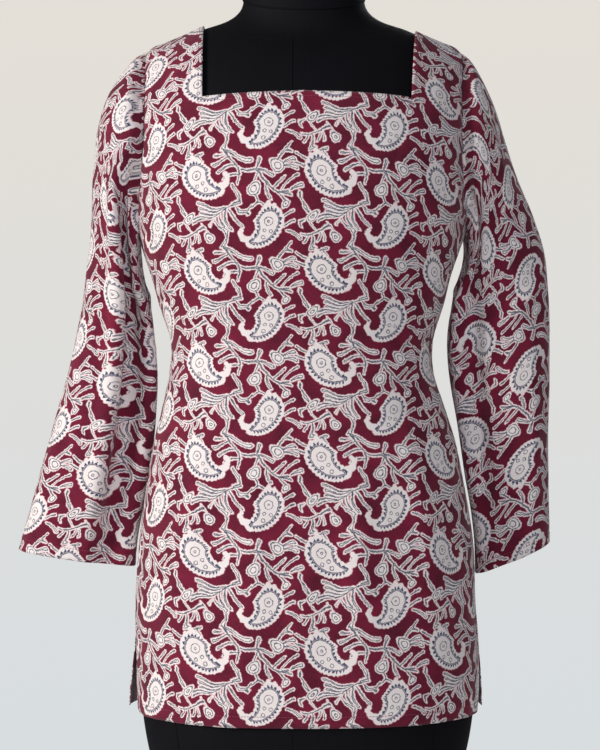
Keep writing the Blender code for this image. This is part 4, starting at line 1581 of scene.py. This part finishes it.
@dataclass
class PrintedCotton:
    """Matte cotton with the block print: its face, its paler reverse and its thread."""

    block: BlockPrint = field(default_factory=BlockPrint)
    reverse: str = "#b59aa0"
    reverse_share: float = 0.45
    thread: str = "#7a2340"
    thread_light: str = "#a14a66"
    weave_pitch: float = 0.45
    weave_depth: float = 0.00018
    group: bpy.types.NodeTree | None = None

    def printed(self, name: str, lay: Lay, paleness: float) -> bpy.types.Material:
        """One side of the cloth.

        The bump is a plain weave, the product of two sines of the cloth's place, with slubs from
        noise that is stretched along the threads.

        Args:
            name: Name of the material.
            lay: How the print lies.
            paleness: Share of the reverse's colour.

        Returns:
            The material.
        """
        if self.group is None:
            self.group = self.block.group()
        finish = Finish(name)
        chain = finish.chain
        cloth = chain.node("ShaderNodeUVMap", uv_map="cloth").outputs[0]
        turned = chain.node("ShaderNodeMapping", cloth, vector_type="POINT")
        turned.inputs["Location"].default_value = (lay.across, lay.along, 0.0)
        turned.inputs["Rotation"].default_value = (0.0, 0.0, lay.turn)
        turned.inputs["Scale"].default_value = (1.0 / MILLIMETRE, 1.0 / MILLIMETRE, 1.0)
        place = turned.outputs[0]
        pattern = chain.node("ShaderNodeGroup")
        pattern.node_tree = self.group
        chain.tree.links.new(place, pattern.inputs[0])
        colour = pattern.outputs[0]
        if paleness > 0.0:
            colour = chain.mix(paleness, colour, linear(self.reverse))
        finish.feed("Base Color", colour)

        rate = 2.0 * math.pi / self.weave_pitch
        warp = chain.math("SINE", chain.vector("DOT_PRODUCT", place, (rate, 0.0, 0.0)))
        weft = chain.math("SINE", chain.vector("DOT_PRODUCT", place, (0.0, rate, 0.0)))
        weave = chain.math("MULTIPLY", warp, weft)
        slub_up = chain.noise(chain.vector("MULTIPLY", place, (1.4, 0.12, 0.0)), 1.0, 2.0)
        slub_across = chain.noise(chain.vector("MULTIPLY", place, (0.12, 1.4, 0.0)), 1.0, 2.0)
        slubs = chain.math("ADD", slub_up, slub_across)
        finish.relief(chain.math("MULTIPLY_ADD", weave, 0.25, slubs), 0.35, self.weave_depth)
        finish.keep("Roughness", 0.88)
        finish.keep("Specular IOR Level", 0.22)
        finish.keep("Sheen Weight", 0.12)
        finish.keep("Sheen Roughness", 0.5)
        return finish.made

    def materials(self, name: str, lay: Lay) -> list[bpy.types.Material]:
        """The face of the cloth and its paler reverse."""
        face = self.printed(name + "_face", lay, 0.0)
        reverse = self.printed(name + "_reverse", lay, self.reverse_share)
        return [face, reverse]

    def thread_material(self) -> bpy.types.Material:
        """Sewing thread: a twist of fine ridges on Object coordinates."""
        made = bpy.data.materials.get("thread")
        if made is not None:
            return made
        finish = Finish("thread")
        chain = finish.chain
        place = chain.node("ShaderNodeTexCoord").outputs["Object"]
        tone = chain.noise(place, 900.0, 1.0)
        finish.feed("Base Color", chain.mix(tone, linear(self.thread), linear(self.thread_light)))
        twist = chain.vector("DOT_PRODUCT", place, (9000.0, 9000.0, 9000.0))
        finish.relief(chain.math("SINE", twist), 0.5, 0.00008)
        finish.keep("Roughness", 0.6)
        return finish.made


@dataclass
class BlackJersey:
    """Matte black stretched jersey with fine knitted ribs and a little lint."""

    tone: str = "#06070b"
    lint: str = "#101218"
    rib_pitch: float = 0.0011
    rib_depth: float = 0.00012
    made: bpy.types.Material | None = None

    def material(self) -> bpy.types.Material:
        """The jersey: ribs are a sine across the form, broken into stitches by one up it."""
        if self.made is not None:
            return self.made
        finish = Finish("black_jersey")
        chain = finish.chain
        place = chain.node("ShaderNodeTexCoord").outputs["Object"]
        cloud = chain.noise(place, 14.0, 3.0)
        specks = chain.noise(place, 1500.0, 1.0)
        share = chain.math("SUBTRACT", specks, 0.62)
        share = chain.math("MULTIPLY_ADD", share, 6.0, 0.0, clamp=True)
        share = chain.math("MULTIPLY", share, 0.35)
        share = chain.math("MULTIPLY_ADD", cloud, 0.45, share)
        finish.feed("Base Color", chain.mix(share, linear(self.tone), linear(self.lint)))
        rate = 2.0 * math.pi / self.rib_pitch
        rib = chain.math("SINE", chain.vector("DOT_PRODUCT", place, (rate, 0.0, 0.0)))
        row = chain.math("SINE", chain.vector("DOT_PRODUCT", place, (0.0, rate * 0.4, rate * 1.3)))
        finish.relief(chain.math("MULTIPLY_ADD", row, 0.4, rib), 0.35, self.rib_depth)
        finish.keep("Roughness", 0.72)
        finish.keep("Specular IOR Level", 0.12)
        self.made = finish.made
        return self.made


@dataclass
class PaintedMetal:
    """Satin black powder coat with a faint orange peel."""

    tone: str = "#15161a"
    worn_tone: str = "#24262b"
    made: bpy.types.Material | None = None

    def material(self) -> bpy.types.Material:
        """The powder coat."""
        if self.made is not None:
            return self.made
        finish = Finish("powder_coat")
        chain = finish.chain
        place = chain.node("ShaderNodeTexCoord").outputs["Object"]
        peel = chain.noise(place, 700.0, 2.0)
        cloud = chain.noise(place, 9.0, 3.0)
        finish.feed("Base Color", chain.mix(cloud, linear(self.tone), linear(self.worn_tone)))
        finish.feed("Roughness", chain.math("MULTIPLY_ADD", cloud, 0.16, 0.34))
        finish.relief(peel, 0.25, 0.0002)
        finish.keep("Metallic", 0.2)
        self.made = finish.made
        return self.made


def turned_grid(radii: np.ndarray, heights: np.ndarray, sides: int) -> Grid:
    """A turned surface: each radius of the profile carried round the upright axis."""
    angles = np.arange(sides) * 2.0 * math.pi / sides
    x = radii[:, None] * np.sin(angles)
    y = -radii[:, None] * np.cos(angles)
    z = np.broadcast_to(heights[:, None], x.shape)
    return Grid(np.stack([x, y, z], axis=-1), closed=True, flip=False)


def rounded_corner(radius: float, height: float, rounding: float, steps: int) -> np.ndarray:
    """A quarter circle on the outer top corner of a profile, as radii and heights going up."""
    angle = np.linspace(0.0, QUARTER_TURN, steps)
    out = radius - rounding + rounding * np.cos(angle)
    up = height - rounding + rounding * np.sin(angle)
    return np.stack([out, up], axis=-1)


@dataclass
class Stand:
    """The round base with its socket, and the pole up to the torso's bottom."""

    base_radius: float = 0.150
    base_height: float = 0.012
    base_rounding: float = 0.004
    socket_radius: float = 0.030
    socket_top_radius: float = 0.024
    socket_height: float = 0.022
    socket_fillet: float = 0.006
    socket_rounding: float = 0.002
    pole_radius: float = 0.0160
    pole_gap: float = 0.0003
    middle_radius: float = 0.0005
    rim_chamfer: float = 0.0008
    flat_radius: float = 0.070
    outer_flat_radius: float = 0.120
    sides: int = 144
    pole_sides: int = 96

    def base_profile(self) -> np.ndarray:
        """Radii and heights from the middle of the underside round the rim to the socket's top."""
        rim = rounded_corner(self.base_radius, self.base_height, self.base_rounding, 9)
        top = self.base_height + self.socket_height
        fillet_angle = np.linspace(0.0, QUARTER_TURN, 7)
        fillet = self.socket_fillet
        foot = np.stack([
            self.socket_radius + fillet - fillet * np.sin(fillet_angle),
            self.base_height + fillet - fillet * np.cos(fillet_angle),
        ], axis=-1)
        rounding = self.socket_rounding
        shoulder = rounded_corner(self.socket_top_radius + rounding, top, rounding, 6)
        chamfer = self.rim_chamfer
        hole = self.pole_radius + self.pole_gap
        return np.concatenate([
            np.array([(self.middle_radius, 0.0), (self.flat_radius, 0.0)]),
            np.array([(self.base_radius - chamfer, 0.0), (self.base_radius, chamfer)]),
            rim,
            np.array([(self.outer_flat_radius, self.base_height), (self.flat_radius, self.base_height)]),
            foot,
            shoulder,
            np.array([(hole + 0.0002, top), (hole, top - 0.001), (self.middle_radius, top - 0.001)]),
        ])

    def build(self, metal: PaintedMetal) -> None:
        """Makes the base and the pole and dresses them."""
        profile = self.base_profile()
        grid = turned_grid(profile[:, 0], profile[:, 1], self.sides)
        base = mesh_of_quads("stand_base_round", grid.points.reshape(-1, 3), grid.quads().reshape(-1, 4))
        dress(base, [metal.material()])
        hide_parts("stand_base")
        foot = self.base_height + self.socket_height
        top = TORSO_BOTTOM_Z - 0.0001
        heights = np.array([foot - 0.0005, foot + 0.02, 0.10, top - 0.0001, top])
        radii = np.array([self.pole_radius] * 4 + [self.middle_radius])
        grid = turned_grid(radii, heights, self.pole_sides)
        pole = mesh_of_quads("stand_pole_round", grid.points.reshape(-1, 3), grid.quads().reshape(-1, 4))
        dress(pole, [metal.material()])
        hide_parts("stand_pole")


@dataclass(frozen=True)
class SoftLight:
    """A square soft light: its place, what it aims at, its side and its power in watts."""

    name: str
    place: tuple[float, float, float]
    aim: tuple[float, float, float]
    side: float
    power: float
    colour: str

    def build(self) -> None:
        """Makes the light and turns it to its aim."""
        data = bpy.data.lights.new(self.name, "AREA")
        data.energy = self.power
        data.size = self.side
        data.color = linear(self.colour)[:3]
        light = bpy.data.objects.new(self.name, data)
        bpy.context.scene.collection.objects.link(light)
        light.location = self.place
        towards = Vector(self.aim) - Vector(self.place)
        light.rotation_euler = towards.to_track_quat("-Z", "Y").to_euler()


@dataclass
class Studio:
    """Camera, soft lights, pale surroundings and a pale floor."""

    camera_place: tuple[float, float, float] = (-0.004, -1.8, 0.617)
    lens: float = 84.6
    sensor: float = 36.0
    upper: str = "#e4dfd7"
    lower: str = "#d8dde0"
    ambient: str = "#e6e4e4"
    ambient_strength: float = 0.20
    wall_slope: float = 2.6
    floor_radius: float = 1.0
    floor_drop: float = 0.0004
    floor_tones: tuple[str, str] = ("#dcdbd8", "#e4e3e0")
    floor_fade: tuple[float, float] = (-2.2, 2.1)
    lights: tuple[SoftLight, ...] = (
        SoftLight("key", (-2.3, -1.35, 1.2), (0.0, 0.0, 0.62), 0.9, 64.0, "#fff6f2"),
        SoftLight("front_fill", (0.3, -3.0, 1.1), (0.0, 0.0, 0.6), 1.5, 33.0, "#f6f4ff"),
        SoftLight("back_fill", (1.2, 2.4, 1.6), (0.0, 0.0, 0.6), 1.6, 26.0, "#f6f8ff"),
    )

    def build_camera(self) -> None:
        """The camera at the photograph's viewing angle, level and looking along +Y."""
        data = bpy.data.cameras.new("camera")
        data.lens = self.lens
        data.sensor_width = self.sensor
        camera = bpy.data.objects.new("camera", data)
        bpy.context.scene.collection.objects.link(camera)
        camera.location = self.camera_place
        camera.rotation_euler = (QUARTER_TURN, 0.0, 0.0)
        bpy.context.scene.camera = camera

    def build_surroundings(self) -> None:
        """Soft light from all round, seen as a pale wall that is cooler towards the floor."""
        world = bpy.data.worlds.new("studio")
        world.use_nodes = True
        tree = world.node_tree
        chain = ShaderChain(tree)
        direction = chain.node("ShaderNodeTexCoord").outputs["Generated"]
        height = chain.node("ShaderNodeSeparateXYZ", direction).outputs[2]
        share = chain.math("MULTIPLY_ADD", height, self.wall_slope, 0.5, clamp=True)
        seen = chain.mix(share, linear(self.lower), linear(self.upper))
        wall = chain.node("ShaderNodeBackground", seen, 1.0)
        lit = chain.node("ShaderNodeBackground", linear(self.ambient), self.ambient_strength)
        straight = chain.node("ShaderNodeLightPath").outputs["Is Camera Ray"]
        either = tree.nodes.new("ShaderNodeMixShader")
        tree.links.new(straight, either.inputs[0])
        tree.links.new(lit.outputs[0], either.inputs[1])
        tree.links.new(wall.outputs[0], either.inputs[2])
        tree.links.new(either.outputs[0], tree.nodes["World Output"].inputs["Surface"])
        bpy.context.scene.world = world

    def build_floor(self) -> None:
        """A round pale floor that fades out towards its rim."""
        radii = np.array([0.001, 0.25, 0.5, 0.75, 1.0]) * self.floor_radius
        grid = turned_grid(radii, np.full(len(radii), -self.floor_drop), 96)
        grid.flip = True
        floor = mesh_of_quads("floor", grid.points.reshape(-1, 3), grid.quads().reshape(-1, 4))
        finish = Finish("floor_paint")
        chain = finish.chain
        place = chain.node("ShaderNodeTexCoord").outputs["Object"]
        tone = chain.noise(place, 3.0, 3.0)
        low, high = self.floor_tones
        finish.feed("Base Color", chain.mix(tone, linear(low), linear(high)))
        far = chain.math("DIVIDE", chain.vector("LENGTH", place), self.floor_radius)
        finish.feed("Alpha", chain.math("MULTIPLY_ADD", far, *self.floor_fade, clamp=True))
        finish.keep("Roughness", 0.8)
        floor.data.materials.append(finish.made)

    def build(self) -> None:
        """Sets up the whole studio."""
        self.build_camera()
        self.build_surroundings()
        self.build_floor()
        for light in self.lights:
            light.build()
        bpy.context.scene.view_settings.view_transform = "Standard"


SLEEVE_COLUMNS = (
    "outer_x", "outer_z", "inner_x", "inner_z", "front", "back", "shift_y", "ridge", "hollow",
)

WEARERS_RIGHT_RINGS = Table(
    SLEEVE_COLUMNS,
    (
        (-0.1800, 0.9295, -0.1720, 0.7480, 0.057, 0.057, 0.004, 0.50, 0.00),
        (-0.1960, 0.9060, -0.1715, 0.7300, 0.056, 0.056, 0.005, 0.48, 0.10),
        (-0.2075, 0.8740, -0.1685, 0.7120, 0.054, 0.054, 0.007, 0.46, 0.25),
        (-0.2135, 0.8300, -0.1650, 0.6950, 0.051, 0.050, 0.009, 0.45, 0.40),
        (-0.2160, 0.7850, -0.1590, 0.6740, 0.048, 0.046, 0.011, 0.45, 0.50),
        (-0.2190, 0.7450, -0.1550, 0.6520, 0.045, 0.043, 0.013, 0.46, 0.55),
        (-0.2245, 0.7040, -0.1530, 0.6280, 0.042, 0.040, 0.015, 0.47, 0.55),
        (-0.2325, 0.6600, -0.1525, 0.6000, 0.040, 0.038, 0.017, 0.48, 0.52),
        (-0.2420, 0.6180, -0.1540, 0.5700, 0.038, 0.036, 0.018, 0.50, 0.48),
        (-0.2530, 0.5780, -0.1575, 0.5400, 0.037, 0.035, 0.019, 0.52, 0.44),
        (-0.2635, 0.5400, -0.1620, 0.5080, 0.036, 0.034, 0.020, 0.54, 0.40),
        (-0.2740, 0.5040, -0.1675, 0.4780, 0.036, 0.034, 0.020, 0.56, 0.36),
        (-0.2835, 0.4690, -0.1725, 0.4490, 0.036, 0.034, 0.020, 0.58, 0.32),
        (-0.2920, 0.4370, -0.1750, 0.4210, 0.036, 0.034, 0.020, 0.60, 0.28),
    ),
)

WEARERS_LEFT_RINGS = Table(
    SLEEVE_COLUMNS,
    (
        (0.1740, 0.9295, 0.1690, 0.7500, 0.057, 0.057, 0.004, 0.50, 0.00),
        (0.1895, 0.8990, 0.1695, 0.7320, 0.056, 0.056, 0.005, 0.50, 0.05),
        (0.2040, 0.8560, 0.1665, 0.7150, 0.054, 0.054, 0.007, 0.48, 0.10),
        (0.2180, 0.8140, 0.1590, 0.6990, 0.051, 0.050, 0.009, 0.46, 0.16),
        (0.2340, 0.7770, 0.1520, 0.6800, 0.048, 0.046, 0.011, 0.44, 0.22),
        (0.2450, 0.7440, 0.1490, 0.6590, 0.045, 0.043, 0.013, 0.42, 0.26),
        (0.2500, 0.7020, 0.1495, 0.6350, 0.043, 0.041, 0.015, 0.42, 0.28),
        (0.2515, 0.6560, 0.1530, 0.6060, 0.041, 0.039, 0.017, 0.42, 0.28),
        (0.2515, 0.6120, 0.1585, 0.5750, 0.039, 0.037, 0.018, 0.42, 0.27),
        (0.2510, 0.5700, 0.1630, 0.5440, 0.038, 0.036, 0.019, 0.44, 0.25),
        (0.2505, 0.5330, 0.1680, 0.5110, 0.037, 0.035, 0.020, 0.44, 0.23),
        (0.2505, 0.5020, 0.1735, 0.4780, 0.037, 0.035, 0.020, 0.46, 0.20),
        (0.2510, 0.4730, 0.1775, 0.4450, 0.037, 0.035, 0.020, 0.46, 0.18),
        (0.2520, 0.4460, 0.1785, 0.4130, 0.037, 0.035, 0.020, 0.48, 0.16),
    ),
)

FRONT_FOLDS = (
    Fold(-0.72, 0.110, 0.0035, 0.62),
    Fold(-0.30, 0.150, 0.0022, 0.50),
    Fold(0.34, 0.140, 0.0025, 0.52),
    Fold(0.74, 0.110, 0.0035, 0.60),
)
BACK_FOLDS = (
    Fold(-0.66, 0.120, 0.0040, 0.62),
    Fold(-0.20, 0.130, 0.0030, 0.56),
    Fold(0.24, 0.130, 0.0028, 0.54),
    Fold(0.68, 0.120, 0.0040, 0.62),
)

# Creases of the panels by distance from the middle and height
FRONT_CREASES = (
    Crease((-0.152, 0.742), (-0.080, 0.635), 0.011, 0.0026, 0.006),
    Crease((-0.150, 0.715), (-0.098, 0.612), 0.008, 0.0016, 0.004),
    Crease((0.146, 0.742), (0.078, 0.640), 0.011, 0.0024, -0.006),
    Crease((0.142, 0.712), (0.096, 0.622), 0.008, 0.0016, -0.003),
    Crease((-0.130, 0.640), (-0.052, 0.602), 0.008, 0.0022, 0.004),
    Crease((-0.134, 0.606), (-0.066, 0.574), 0.008, 0.0018, 0.003),
    Crease((0.128, 0.640), (0.055, 0.612), 0.008, 0.0022, -0.004),
    Crease((0.132, 0.602), (0.050, 0.584), 0.008, 0.0018, -0.003),
    Crease((-0.092, 0.575), (-0.124, 0.286), 0.017, 0.0052, 0.008),
    Crease((-0.048, 0.530), (-0.058, 0.284), 0.018, 0.0034, -0.005),
    Crease((0.004, 0.480), (-0.004, 0.284), 0.016, 0.0022, 0.004),
    Crease((0.052, 0.540), (0.066, 0.284), 0.017, 0.0036, 0.005),
    Crease((0.098, 0.575), (0.132, 0.286), 0.016, 0.0052, -0.008),
    Crease((-0.062, 0.806), (0.058, 0.798), 0.013, 0.0012, 0.010),
    Crease((-0.128, 0.934), (-0.108, 0.838), 0.009, 0.0016, 0.004),
    Crease((0.134, 0.928), (0.116, 0.832), 0.009, 0.0016, -0.004),
    Crease((-0.094, 0.852), (-0.080, 0.812), 0.004, -0.0011),
    Crease((0.094, 0.850), (0.082, 0.812), 0.004, -0.0011),
)
BACK_CREASES = (
    Crease((-0.140, 0.720), (-0.060, 0.640), 0.012, 0.0030, 0.006),
    Crease((0.136, 0.720), (0.058, 0.644), 0.012, 0.0030, -0.006),
    Crease((-0.110, 0.640), (0.030, 0.618), 0.010, 0.0030, 0.008),
    Crease((0.112, 0.622), (-0.020, 0.596), 0.010, 0.0026, -0.008),
    Crease((-0.100, 0.592), (0.048, 0.570), 0.010, 0.0022, 0.006),
    Crease((-0.088, 0.560), (-0.118, 0.286), 0.018, 0.0058, 0.008),
    Crease((-0.030, 0.550), (-0.042, 0.284), 0.017, 0.0042, -0.006),
    Crease((0.036, 0.552), (0.048, 0.284), 0.017, 0.0042, 0.006),
    Crease((0.092, 0.560), (0.124, 0.286), 0.018, 0.0058, -0.008),
    Crease((-0.118, 0.900), (-0.070, 0.780), 0.012, 0.0020, 0.006),
    Crease((0.120, 0.896), (0.072, 0.780), 0.012, 0.0020, -0.006),
)

# Creases of the sleeves by distance round from the outer edge, on an even girth of 0.28 m with
# the front first, and height above the cuff
RIGHT_SLEEVE_CREASES = (
    Crease((0.066, 0.480), (0.084, 0.000), 0.009, 0.0080, 0.004),
    Crease((0.090, 0.450), (0.104, 0.000), 0.010, -0.0105, 0.003),
    Crease((0.112, 0.490), (0.124, 0.290), 0.006, 0.0064, 0.003),
    Crease((0.124, 0.360), (0.126, 0.040), 0.008, 0.0034, -0.003),
    Crease((0.016, 0.290), (0.062, 0.248), 0.007, 0.0026, 0.004),
    Crease((0.014, 0.240), (0.056, 0.216), 0.006, 0.0020, -0.003),
    Crease((0.130, 0.262), (0.096, 0.300), 0.006, 0.0026, 0.003),
    Crease((0.132, 0.222), (0.098, 0.246), 0.006, 0.0022, -0.002),
    Crease((0.046, 0.330), (0.044, 0.110), 0.006, 0.0020, 0.002),
    Crease((0.028, 0.160), (0.022, 0.006), 0.009, 0.0028, 0.002),
    Crease((0.172, 0.440), (0.186, 0.010), 0.010, 0.0048, 0.006),
    Crease((0.214, 0.400), (0.222, 0.010), 0.010, 0.0040, -0.005),
    Crease((0.160, 0.290), (0.212, 0.250), 0.007, 0.0028, 0.004),
    Crease((0.252, 0.280), (0.206, 0.232), 0.007, 0.0026, -0.004),
)
LEFT_SLEEVE_CREASES = (
    Crease((0.080, 0.450), (0.088, 0.000), 0.009, 0.0050, -0.004),
    Crease((0.104, 0.430), (0.110, 0.000), 0.009, -0.0070, 0.003),
    Crease((0.122, 0.460), (0.128, 0.060), 0.007, 0.0030, 0.003),
    Crease((0.012, 0.318), (0.078, 0.286), 0.007, 0.0030, -0.005),
    Crease((0.012, 0.276), (0.066, 0.238), 0.007, 0.0026, -0.004),
    Crease((0.130, 0.286), (0.090, 0.262), 0.006, 0.0026, 0.003),
    Crease((0.128, 0.240), (0.094, 0.224), 0.006, 0.0020, 0.002),
    Crease((0.042, 0.220), (0.048, 0.006), 0.010, 0.0032, 0.003),
    Crease((0.040, 0.420), (0.052, 0.330), 0.008, 0.0024, 0.002),
    Crease((0.168, 0.440), (0.182, 0.010), 0.010, 0.0048, 0.006),
    Crease((0.212, 0.400), (0.224, 0.010), 0.010, 0.0040, -0.005),
    Crease((0.158, 0.300), (0.214, 0.262), 0.007, 0.0028, 0.004),
    Crease((0.250, 0.300), (0.204, 0.246), 0.007, 0.0026, -0.004),
)

# Flat width and length of what shows of a panel, and of a sleeve all round
PANEL_CUT = (0.46, 0.73)
SLEEVE_CUT = (0.30, 0.54)


def build_tunic(body: BodySurface, cotton: PrintedCotton) -> None:
    """Makes the four cloth pieces of the tunic."""
    BodyPanel("front", Face.FRONT, FRONT_NECK_Z, FRONT_FOLDS, FRONT_CREASES, body,
              flat=PANEL_CUT, flat_area=0.280, lay=Lay(34.3, -391.0)).build(cotton)
    BodyPanel("back", Face.BACK, BACK_NECK_Z, BACK_FOLDS, BACK_CREASES, body,
              flat=PANEL_CUT, flat_area=0.285, lay=Lay(11.0, -340.0),
              slit_flare_left=0.0110, slit_flare_right=0.0060, seed=1.9).build(cotton)
    Sleeve("sleeve_right", Side.LEFT, WEARERS_RIGHT_RINGS, RIGHT_SLEEVE_CREASES, body,
           flat=SLEEVE_CUT, flat_area=0.123, lay=Lay(-22.0, -36.0), seed=0.3).build(cotton)
    Sleeve("sleeve_left", Side.RIGHT, WEARERS_LEFT_RINGS, LEFT_SLEEVE_CREASES, body,
           flat=SLEEVE_CUT, flat_area=0.122, lay=Lay(-53.6, 3.3, math.pi), seed=1.3).build(cotton)


def main() -> None:
    """Builds the tunic, the form and the studio in order."""
    logging.basicConfig(level=logging.INFO, format="%(name)s: %(message)s")
    body = BodySurface()
    DressForm(body).build(BlackJersey())
    Stand().build(PaintedMetal())
    build_tunic(body, PrintedCotton())
    Studio().build()


if __name__ == "__main__":
    main()
